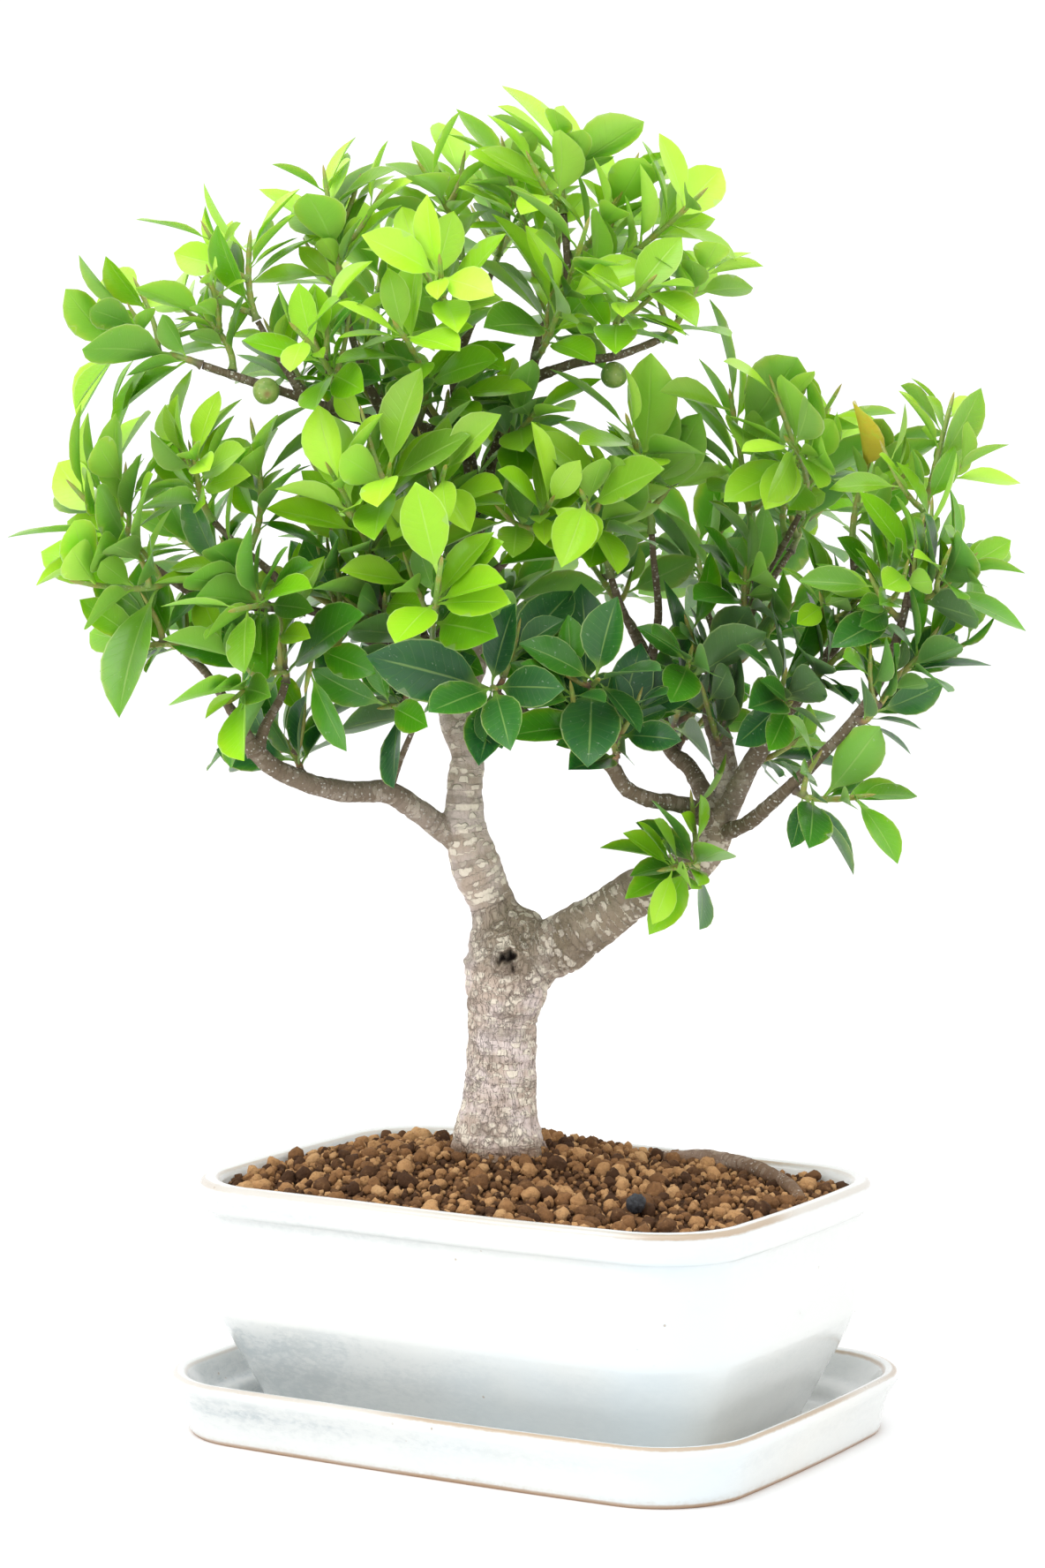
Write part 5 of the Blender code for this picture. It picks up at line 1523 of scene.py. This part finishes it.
class BONSAI_OT_char(bpy.types.Operator):
    """Build the one lump of charred grit lying on the soil"""
    bl_idname = "bonsai.char"
    bl_label = "Charred lump"

    def execute(self, context):
        low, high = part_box("char_grit")
        middle = (Vector(low) + Vector(high)) / 2
        half = (Vector(high) - Vector(low)) / 2
        bm = bmesh.new()
        bmesh.ops.create_icosphere(bm, subdivisions=4, radius=1.0)
        for vert in bm.verts:
            way = vert.co.normalized()
            rough = 1 + 0.16 * noise.noise(way * 1.9) + 0.06 * noise.noise(way * 6.0)
            for k in range(3):
                vert.co[k] = middle[k] + way[k] * half[k] * rough
        lump = new_object("char_lump", mesh_from("char_lump", bm), [char_material()])
        finish_piece(lump, "charred_grit", "char_grit")
        return {"FINISHED"}


# ---------------------------------------------------------------- wood

def tube(bm, way, radii, sides):
    """A closed tube of changing radius along a line."""
    side = (way[1] - way[0]).orthogonal().normalized()
    rings = []
    for k, (centre, radius) in enumerate(zip(way, radii)):
        ahead = (way[min(k + 1, len(way) - 1)] - way[max(k - 1, 0)]).normalized()
        side = square_to(ahead, side)
        other = ahead.cross(side)
        ring = []
        for i in range(sides):
            angle = 2 * math.pi * i / sides
            ring.append(centre + (side * math.cos(angle) + other * math.sin(angle)) * radius)
        rings.append(ring)
    loft(bm, rings)


def fine_line(way, radii, step):
    """Closer points along a line, with the radius eased between the old ones."""
    line = []
    eased = []
    padded = [way[0] * 2 - way[1], *way, way[-1] * 2 - way[-2]]
    for k in range(len(way) - 1):
        a, b, c, d = padded[k:k + 4]
        parts = max(1, math.ceil((c - b).length / step))
        for i in range(parts):
            t = i / parts
            line.append(round_between(a, b, c, d, t))
            eased.append(radii[k] + (radii[k + 1] - radii[k]) * (t * t * (3 - 2 * t)))
    return [*line, way[-1]], [*eased, radii[-1]]


def skeleton():
    """Every limb as (name, line, radii, lengths along), each carrying on from where it leaves its parent."""
    trunk = fine_line(*trunk_line(), FINE_STEP)
    runs = [("trunk", *trunk, running_lengths(trunk[0], 0.0))]
    for name, way, radii in all_limbs():
        way, radii = fine_line(way, radii, FINE_STEP)
        if name == "root":
            way = [p - Vector((0, 0, ROOT_SINK * min(1.0, k / 12))) for k, p in enumerate(way)]
        best = min((((way[0] - p).length, at) for _, line, _, along in runs for p, at in zip(line, along)),
                   key=lambda pair: pair[0])
        runs.append((name, way, radii, running_lengths(way, best[1])))
    return runs


def running_lengths(line, start):
    lengths = [start]
    for a, b in zip(line, line[1:]):
        lengths.append(lengths[-1] + (b - a).length)
    return lengths


def bark_marks(mesh, runs):
    """Give every vertex its length along the tree and the radius of the limb it is on."""
    samples = [(p, r, at) for _, line, radii, along in runs for p, r, at in zip(line, radii, along)]
    book = KDTree(len(samples))
    for k, (p, _, _) in enumerate(samples):
        book.insert(p, k)
    book.balance()
    along = []
    girth = []
    for vert in mesh.vertices:
        _, k, _ = min(book.find_n(vert.co, 10), key=lambda item: item[2] / samples[item[1]][1])
        along.append(samples[k][2])
        girth.append(samples[k][1])
    return along, girth


# Hollows left by cut limbs, painted dark inside as shade: from, to, radius, depth, and knots: place, radius,
# height
BARK_SCARS = (((-14.0, 8.0, 187.0), (-10.2, 8.0, 188.2), 0.0028, 0.0055),
              ((-13, 8.5, 189), (-15, 10, 198), 0.0014, 0.0032), ((-10, 8, 187), (-8.6, 8, 181), 0.0012, 0.0024),
              ((-9, 8.5, 190), (-6.6, 10, 197), 0.0012, 0.0020))
BARK_KNOTS = (((4, 12, 178), 0.006, 0.0016), ((-26, 14, 168), 0.007, 0.0014), ((-20, 16, 150), 0.006, 0.0010),
              ((2, 18, 150), 0.005, 0.0010), ((-30, 20, 205), 0.005, 0.0012), ((-16, 18, 246), 0.004, 0.0010),
              ((20, 10, 196), 0.006, 0.0012), ((44, 6, 212), 0.005, 0.0010), ((66, 2, 226), 0.006, 0.0012))


def shape_bark(mesh, runs):
    """Raise the bark: root flare, rings, furrows, knots and the hollow of a cut limb with its cleft; paint shade
    into those hollows and round the fork, and mark browner bark and soil on it.
    """
    look = sizes()
    along, girth = bark_marks(mesh, runs)
    scars = [(tree(a), tree(b), radius, depth) for a, b, radius, depth in BARK_SCARS]
    inward = (tree((-10, 28, 187)) - tree((-11, 7.5, 189))).normalized()
    knots = [(tree(p), radius, height) for p, radius, height in BARK_KNOTS]
    flare = tree(TRUNK[2][0])
    normals = [v.normal.copy() for v in mesh.vertices]
    fork = tree((-6, 20, 197))
    hollow_shades = []
    soiled = []
    fork_shade_and_browning = []
    for vert, normal, at, wide in zip(mesh.vertices, normals, along, girth):
        p = vert.co
        relief = look.bark_relief * min(1.0, wide / 0.012)
        ring = noise.noise(Vector((p.x * 30, p.y * 30, at * 330)))
        fine_ring = noise.noise(Vector((p.x * 60 + 9, p.y * 60, at * 800)))
        lump = noise.noise(p * 110)
        broad = noise.noise(p * 34 + Vector((4, 4, 4)))
        scab = max(0.0, noise.noise(Vector((p.x * 230, p.y * 230, p.z * 420))))
        furrow = max(0.0, 1 - 6 * abs(noise.noise(Vector((p.x * 150, p.y * 150, p.z * 95)))))
        move = relief * (0.00055 * ring + 0.00045 * fine_ring + 0.00090 * lump + 0.00055 * scab + 0.0014 * broad
                         - 0.0006 * furrow)
        near_soil = max(0.0, 1 - abs(p.z - flare.z + 0.006) / 0.030) if wide > 0.012 else 0.0
        if near_soil:
            angle = math.atan2(p.y - flare.y, p.x - flare.x)
            flutes = 0.0011 * math.cos(5 * angle + 0.7) + 0.0009 * math.cos(3 * angle + 2.1)
            move += near_soil ** 1.5 * (flutes - 0.0008)
        for spot, radius, height in knots:
            far = (p - spot).length / radius
            if far < 1.6:
                move += height * math.exp(-(far * 1.6) ** 2)
        hollow_shade = 0.0
        if wide > 0.012:
            for a, b, radius, depth in scars:
                t = clamp((p - a).dot(b - a) / (b - a).length_squared)
                wander = 0.30 * noise.noise(p * 200) + 0.42 * noise.noise(p * 460)
                hollow = (p - a - (b - a) * t).length / radius + wander
                if hollow < 2.4:
                    move += 0.35 * depth * math.exp(-((hollow - 1.35) * 2.6) ** 2)
                    vert.co += inward * depth * max(0.0, 1 - hollow ** 2) ** 0.6
                    # Painted shade: the inside of a hollow is darkened, the more the deeper the hollow is
                    hollow_shade = max(hollow_shade, min(1.0, (1.02 - hollow) * 2.6) * min(1.0, depth / 0.0034))
        vert.co += normal * move
        hollow_shades.append(hollow_shade)
        # Darker brown bark: painted shade round the fork where the limbs part, and browner bark on the right limb
        # and above the fork
        shade = max(0.0, 1 - ((p - fork).length / 0.026) ** 3)
        on_right = clamp((p.x - fork.x - 0.004) / 0.012) if p.z > fork.z - 0.016 else 0.0
        neck = 0.42 * clamp((p.z - fork.z - 0.004) / 0.010)
        fork_shade_and_browning.append(max(shade, neck, on_right if wide > 0.006 else 0.0))
        above = p.z - soil_height(p.x, p.y)
        buried = clamp(1.05 - above / 0.0055)
        surface_root = (p.x - flare.x) ** 2 + (p.y - flare.y) ** 2 > 0.026 ** 2 and above < 0.02
        soiled.append(max(buried, 0.50) if surface_root else buried)
    for label, values in (("along", along), ("girth", girth), ("scar", hollow_shades), ("soiled", soiled),
                          ("crown_of_trunk", fork_shade_and_browning)):
        put_attribute(mesh, label, values)
    shade_smooth(mesh)


def knuckle(at, pitch):
    """Peaks of one at every joint of a twig."""
    return max(0.0, math.cos(2 * math.pi * at / pitch)) ** 8


class BONSAI_OT_wood(bpy.types.Operator):
    """Build the trunk, limbs and surface root as one skin of bark, and the fine branches"""
    bl_idname = "bonsai.wood"
    bl_label = "Trunk and branches"

    def execute(self, context):
        material = bark_material(colours())
        runs = skeleton()
        bm = bmesh.new()
        for name, line, radii, _ in runs:
            if radii[0] >= SKIN_LIMB:
                tube(bm, line, radii, 20 if name in ("trunk", "right") else 12)
        skin = new_object("trunk_skin", mesh_from("trunk_skin", bm), [material])
        step = skin.modifiers.new("Skin", "REMESH")
        step.mode = "VOXEL"
        step.voxel_size = sizes().bark_voxel
        step = skin.modifiers.new("Ease", "SMOOTH")
        step.factor = 0.6
        step.iterations = 6
        bake_modifiers(skin)
        shape_bark(skin.data, runs)
        finish_piece(skin, "bark", "trunk_and_branches")
        bm = bmesh.new()
        for name, line, radii, _ in runs:
            if radii[0] < SKIN_LIMB:
                line, radii = fine_line(line, radii, 0.0015)
                ahead = running_lengths(line, 0.0)
                radii = [r * (1 + 0.45 * math.exp(-at / 0.005) + 0.09 * knuckle(at, 0.0095))
                         for r, at in zip(radii, ahead)]
                tube(bm, line, radii, 12)
        twigs = new_object("fine_branches", mesh_from("fine_branches", bm), [material])
        shape_bark(twigs.data, runs)
        finish_piece(twigs, "bark")
        return {"FINISHED"}


# ---------------------------------------------------------------- leafy shoots

def stem_marks(shoot):
    """Points of one stem from its seat to the tip of its bud, with (thickness, woodiness, scaliness)."""
    start, _, end = shoot["way"]
    reach = (end - start).length
    width = STEM_RADIUS * shoot["girth"]
    count = max(8, round(reach / 0.0025))
    bud = shoot["bud"] + (shoot["bud"] - end) * 0.6
    stops = [(a + b) / 2 for a, b in zip(shoot["stops"][1::2], shoot["stops"][2::2])]
    rows = []
    for k in range(count + 1):
        t = k / count
        swell = sum(math.exp(-((t - stop) * reach / 0.0012) ** 2) for stop in stops)
        thick = width * (1.55 - 0.45 * t) * (1 + 0.22 * swell)
        thick += 0.0008 * math.exp(-t * 18)
        woody = clamp((1.05 - t * 1.5) * (1.2 - shoot["youth"]))
        rows.append((bend_at(shoot["way"], t)[0], (thick, woody, 0.45 * min(1.0, swell))))
    for k in range(1, 7):
        t = k / 6
        thick = width * 1.05 * math.sin(math.pi * (0.45 + 0.54 * t)) ** 0.8
        rows.append((end + (bud - end) * t, (thick, 0.0, 0.15 + 0.45 * t)))
    return rows


def shoot_points(shoot, rng):
    """Stem lines and leaf seats of one shoot as a bare mesh of edges and points with their attributes."""
    spots = []
    marks = []
    edges = []
    for part in (shoot, *shoot["sides"]):
        rows = stem_marks(part)
        edges += [(len(spots) + k, len(spots) + k + 1) for k in range(len(rows) - 1)]
        spots += [spot for spot, _ in rows]
        marks += [mark for _, mark in rows]
    line = len(spots)
    turns = [(0.0, 0.0, 0.0)] * line
    leafs = [(1.0, 0, 0.0, 0.0, 0.0)] * line
    for part in (shoot, *shoot["sides"]):
        for base, ahead, face, length, share in part["leaves"]:
            side = ahead.cross(face).normalized()
            spots.append(base)
            turns.append(tuple(Matrix((side, ahead, face)).transposed().to_euler()))
            marks.append((0.0, 0.0, 0.0))
            high = max(-0.12, min(0.16, (base.z - 0.36) * 1.6))
            age = part["youth"] + high + 0.42 * (share - 0.42) + rng.uniform(-0.12, 0.12)
            age = max(0.0, min(0.97, age))
            sere = rng.uniform(0.5, 0.9) if rng.random() < 0.004 * (1.3 - part["youth"]) else 0.0
            leafs.append((length, rng.randrange(LEAF_KINDS), age, rng.random(), sere))
    mesh = bpy.data.meshes.new("shoot_line")
    mesh.from_pydata(spots, edges, [])
    seats = [0.0] * line + [1.0] * (len(spots) - line)
    put_attribute(mesh, "seat", seats)
    put_attribute(mesh, "stalk", [1.0 - value for value in seats])
    put_attribute(mesh, "turn", turns, "FLOAT_VECTOR")
    for k, label in enumerate(("thick", "woody", "scale")):
        put_attribute(mesh, label, [row[k] for row in marks])
    put_attribute(mesh, "kind", [row[1] for row in leafs], "INT")
    for k, label in ((0, "size"), (2, "youth"), (3, "tone"), (4, "sere")):
        put_attribute(mesh, label, [row[k] for row in leafs])
    return mesh


class BONSAI_OT_shoots(bpy.types.Operator):
    """Grow every leafy shoot: its stem, bud and leaves"""
    bl_idname = "bonsai.shoots"
    bl_label = "Leafy shoots"

    def execute(self, context):
        look = sizes()
        leaf = leaf_material(colours())
        stem = stem_material(colours())
        rng = random.Random(SEED)
        shapes = []
        for k in range(LEAF_KINDS):
            curl = look.leaf_curl * rng.uniform(0.5, 1.5)
            fold = look.leaf_fold * rng.uniform(0.4, 1.9)
            shapes.append(leaf_mesh(f"leaf_{k}", rng, curl, fold))
        shelf = patterns("leaf_shape", shapes)
        rule = shoot_rule()
        for name, shoot in lay_out_shoots(look.fig_radius, look.side_stems, look.extra_leaves).items():
            piece = new_object("leafy_" + name, shoot_points(shoot, rng))
            grow(piece, rule, {"Leaves": shelf, "Stem Sides": look.stem_sides, "Stem Material": stem,
                               "Leaf Material": leaf})
            if len(piece.data.materials) < 2:
                raise RuntimeError(name + " grew without its stem or its leaves")
            shade_smooth(piece.data)
            piece.data.set_sharp_from_angle(angle=math.radians(75))
            stands_for = [node for node in ("shoot_" + name,) if node in frame["nodes"]]
            finish_piece(piece, "leaf", *stands_for)
        put_away(shelf)
        return {"FINISHED"}


class BONSAI_OT_figs(bpy.types.Operator):
    """Build the small green figs on the twigs"""
    bl_idname = "bonsai.figs"
    bl_label = "Figs"

    def execute(self, context):
        material = fig_material()
        radius = sizes().fig_radius
        for (name, _), (start, out) in zip(FIGS, fig_seats(wood_lines())):
            bm = bmesh.new()
            bmesh.ops.create_uvsphere(bm, u_segments=28, v_segments=20, radius=1.0)
            pose = out.to_track_quat("Z", "Y").to_matrix()
            eyes = []
            for vert in bm.verts:
                p = vert.co.copy()
                up = p.z
                wide = 1 + 0.04 * up - 0.10 * max(0.0, -up - 0.55)
                tall = 1 - 0.10 * math.exp(-((1 - up) / 0.05)) + 0.05 * math.exp(-((up - 0.965) / 0.02) ** 2)
                lump = 1 + 0.025 * noise.noise(p * 2.5)
                p = Vector((p.x * wide, p.y * wide, p.z * tall)) * radius * lump
                eyes.append(math.exp(-((1 - up) / 0.03)))
                vert.co = start + out * radius + pose @ p
            mesh = mesh_from("green_fig_" + name, bm)
            put_attribute(mesh, "eye", eyes)
            piece = new_object("green_fig_" + name, mesh, [material])
            finish_piece(piece, "fig_skin", "fig_" + name)
        return {"FINISHED"}


# ---------------------------------------------------------------- studio

# Soft lights: name, turn and rise in degrees, distance and size in metres, power in watts
LIGHTS = (("key", -25, 48, 1.9, 1.1, 16), ("fill", 80, 25, 2.2, 1.6, 5), ("top", 30, 82, 1.8, 1.4, 8))
LIGHT_TARGET = (0, 0, 0.26)
AIR_STRENGTH = 1.12

# Camera: place in metres, lens and sensor in millimetres, turn and downward tilt in radians
CAMERA_PLACE = (0.8412, -1.4151, 0.4058)
CAMERA_LENS = 96.8
CAMERA_SENSOR = 36.0
CAMERA_TURN = math.radians(30.73) + 0.003
CAMERA_TILT = math.radians(5.17)


def point_at(thing, way):
    """Turn a light or a camera to look along a direction."""
    thing.rotation_euler = way.to_track_quat("-Z", "Y").to_euler()


class BONSAI_OT_stage(bpy.types.Operator):
    """Set the pale floor, the soft lights and the camera"""
    bl_idname = "bonsai.stage"
    bl_label = "Studio"

    def execute(self, context):
        scene = context.scene
        bm = bmesh.new()
        bmesh.ops.create_circle(bm, cap_ends=True, segments=96, radius=sizes().floor_radius)
        floor = new_object("studio_floor", mesh_from("studio_floor", bm), [floor_material(colours())])
        world = bpy.data.worlds.new("studio_air")
        world.use_nodes = True
        air = world.node_tree.nodes["Background"].inputs
        air["Color"].default_value = (1.0, 1.0, 1.0, 1.0)
        air["Strength"].default_value = AIR_STRENGTH
        scene.world = world
        target = Vector(LIGHT_TARGET)
        for name, turn, rise, reach, size, power in LIGHTS:
            light = bpy.data.lights.new(name, "AREA")
            light.shape = "SQUARE"
            light.size = size
            light.energy = power
            lamp = bpy.data.objects.new(name, light)
            a, e = math.radians(turn), math.radians(rise)
            away = Vector((math.sin(a) * math.cos(e), -math.cos(a) * math.cos(e), math.sin(e)))
            lamp.location = target + away * reach
            point_at(lamp, target - lamp.location)
            scene.collection.objects.link(lamp)
        eye = bpy.data.cameras.new("front_view")
        eye.lens = CAMERA_LENS
        eye.sensor_fit = "AUTO"
        eye.sensor_width = CAMERA_SENSOR
        camera = bpy.data.objects.new("front_view", eye)
        camera.location = CAMERA_PLACE
        flat = math.cos(CAMERA_TILT)
        point_at(camera, Vector((-math.sin(CAMERA_TURN) * flat, math.cos(CAMERA_TURN) * flat,
                                 -math.sin(CAMERA_TILT))))
        scene.collection.objects.link(camera)
        scene.camera = camera
        scene.view_settings.view_transform = "Standard"
        return {"FINISHED"}


# ---------------------------------------------------------------- add-on

OPERATORS = (BONSAI_OT_stage, BONSAI_OT_pot, BONSAI_OT_tray, BONSAI_OT_drain_parts, BONSAI_OT_soil,
             BONSAI_OT_char, BONSAI_OT_wood, BONSAI_OT_shoots, BONSAI_OT_figs)


class BONSAI_PT_panel(bpy.types.Panel):
    """Everything the bonsai is built from"""
    bl_idname = "BONSAI_PT_panel"
    bl_label = "Bonsai in a pot"
    bl_space_type = "VIEW_3D"
    bl_region_type = "UI"
    bl_category = "Bonsai"

    def draw(self, context):
        column = self.layout.column(align=True)
        for operator in OPERATORS:
            column.operator(operator.bl_idname)
        for group, settings in (("Sizes", context.scene.bonsai_sizes),
                                ("Colours", context.scene.bonsai_colours)):
            box = self.layout.box()
            box.label(text=group)
            for name in settings.__class__.__annotations__:
                box.prop(settings, name)


CLASSES = (BonsaiSizes, BonsaiColours, *OPERATORS, BONSAI_PT_panel)


def register():
    for item in CLASSES:
        bpy.utils.register_class(item)
    bpy.types.Scene.bonsai_sizes = PointerProperty(type=BonsaiSizes)
    bpy.types.Scene.bonsai_colours = PointerProperty(type=BonsaiColours)


def unregister():
    del bpy.types.Scene.bonsai_colours
    del bpy.types.Scene.bonsai_sizes
    for item in reversed(CLASSES):
        bpy.utils.unregister_class(item)


def main():
    register()
    for step in ("stage", "pot", "tray", "drain_parts", "soil", "char", "wood", "shoots", "figs"):
        getattr(bpy.ops.bonsai, step)()


if __name__ == "__main__":
    main()
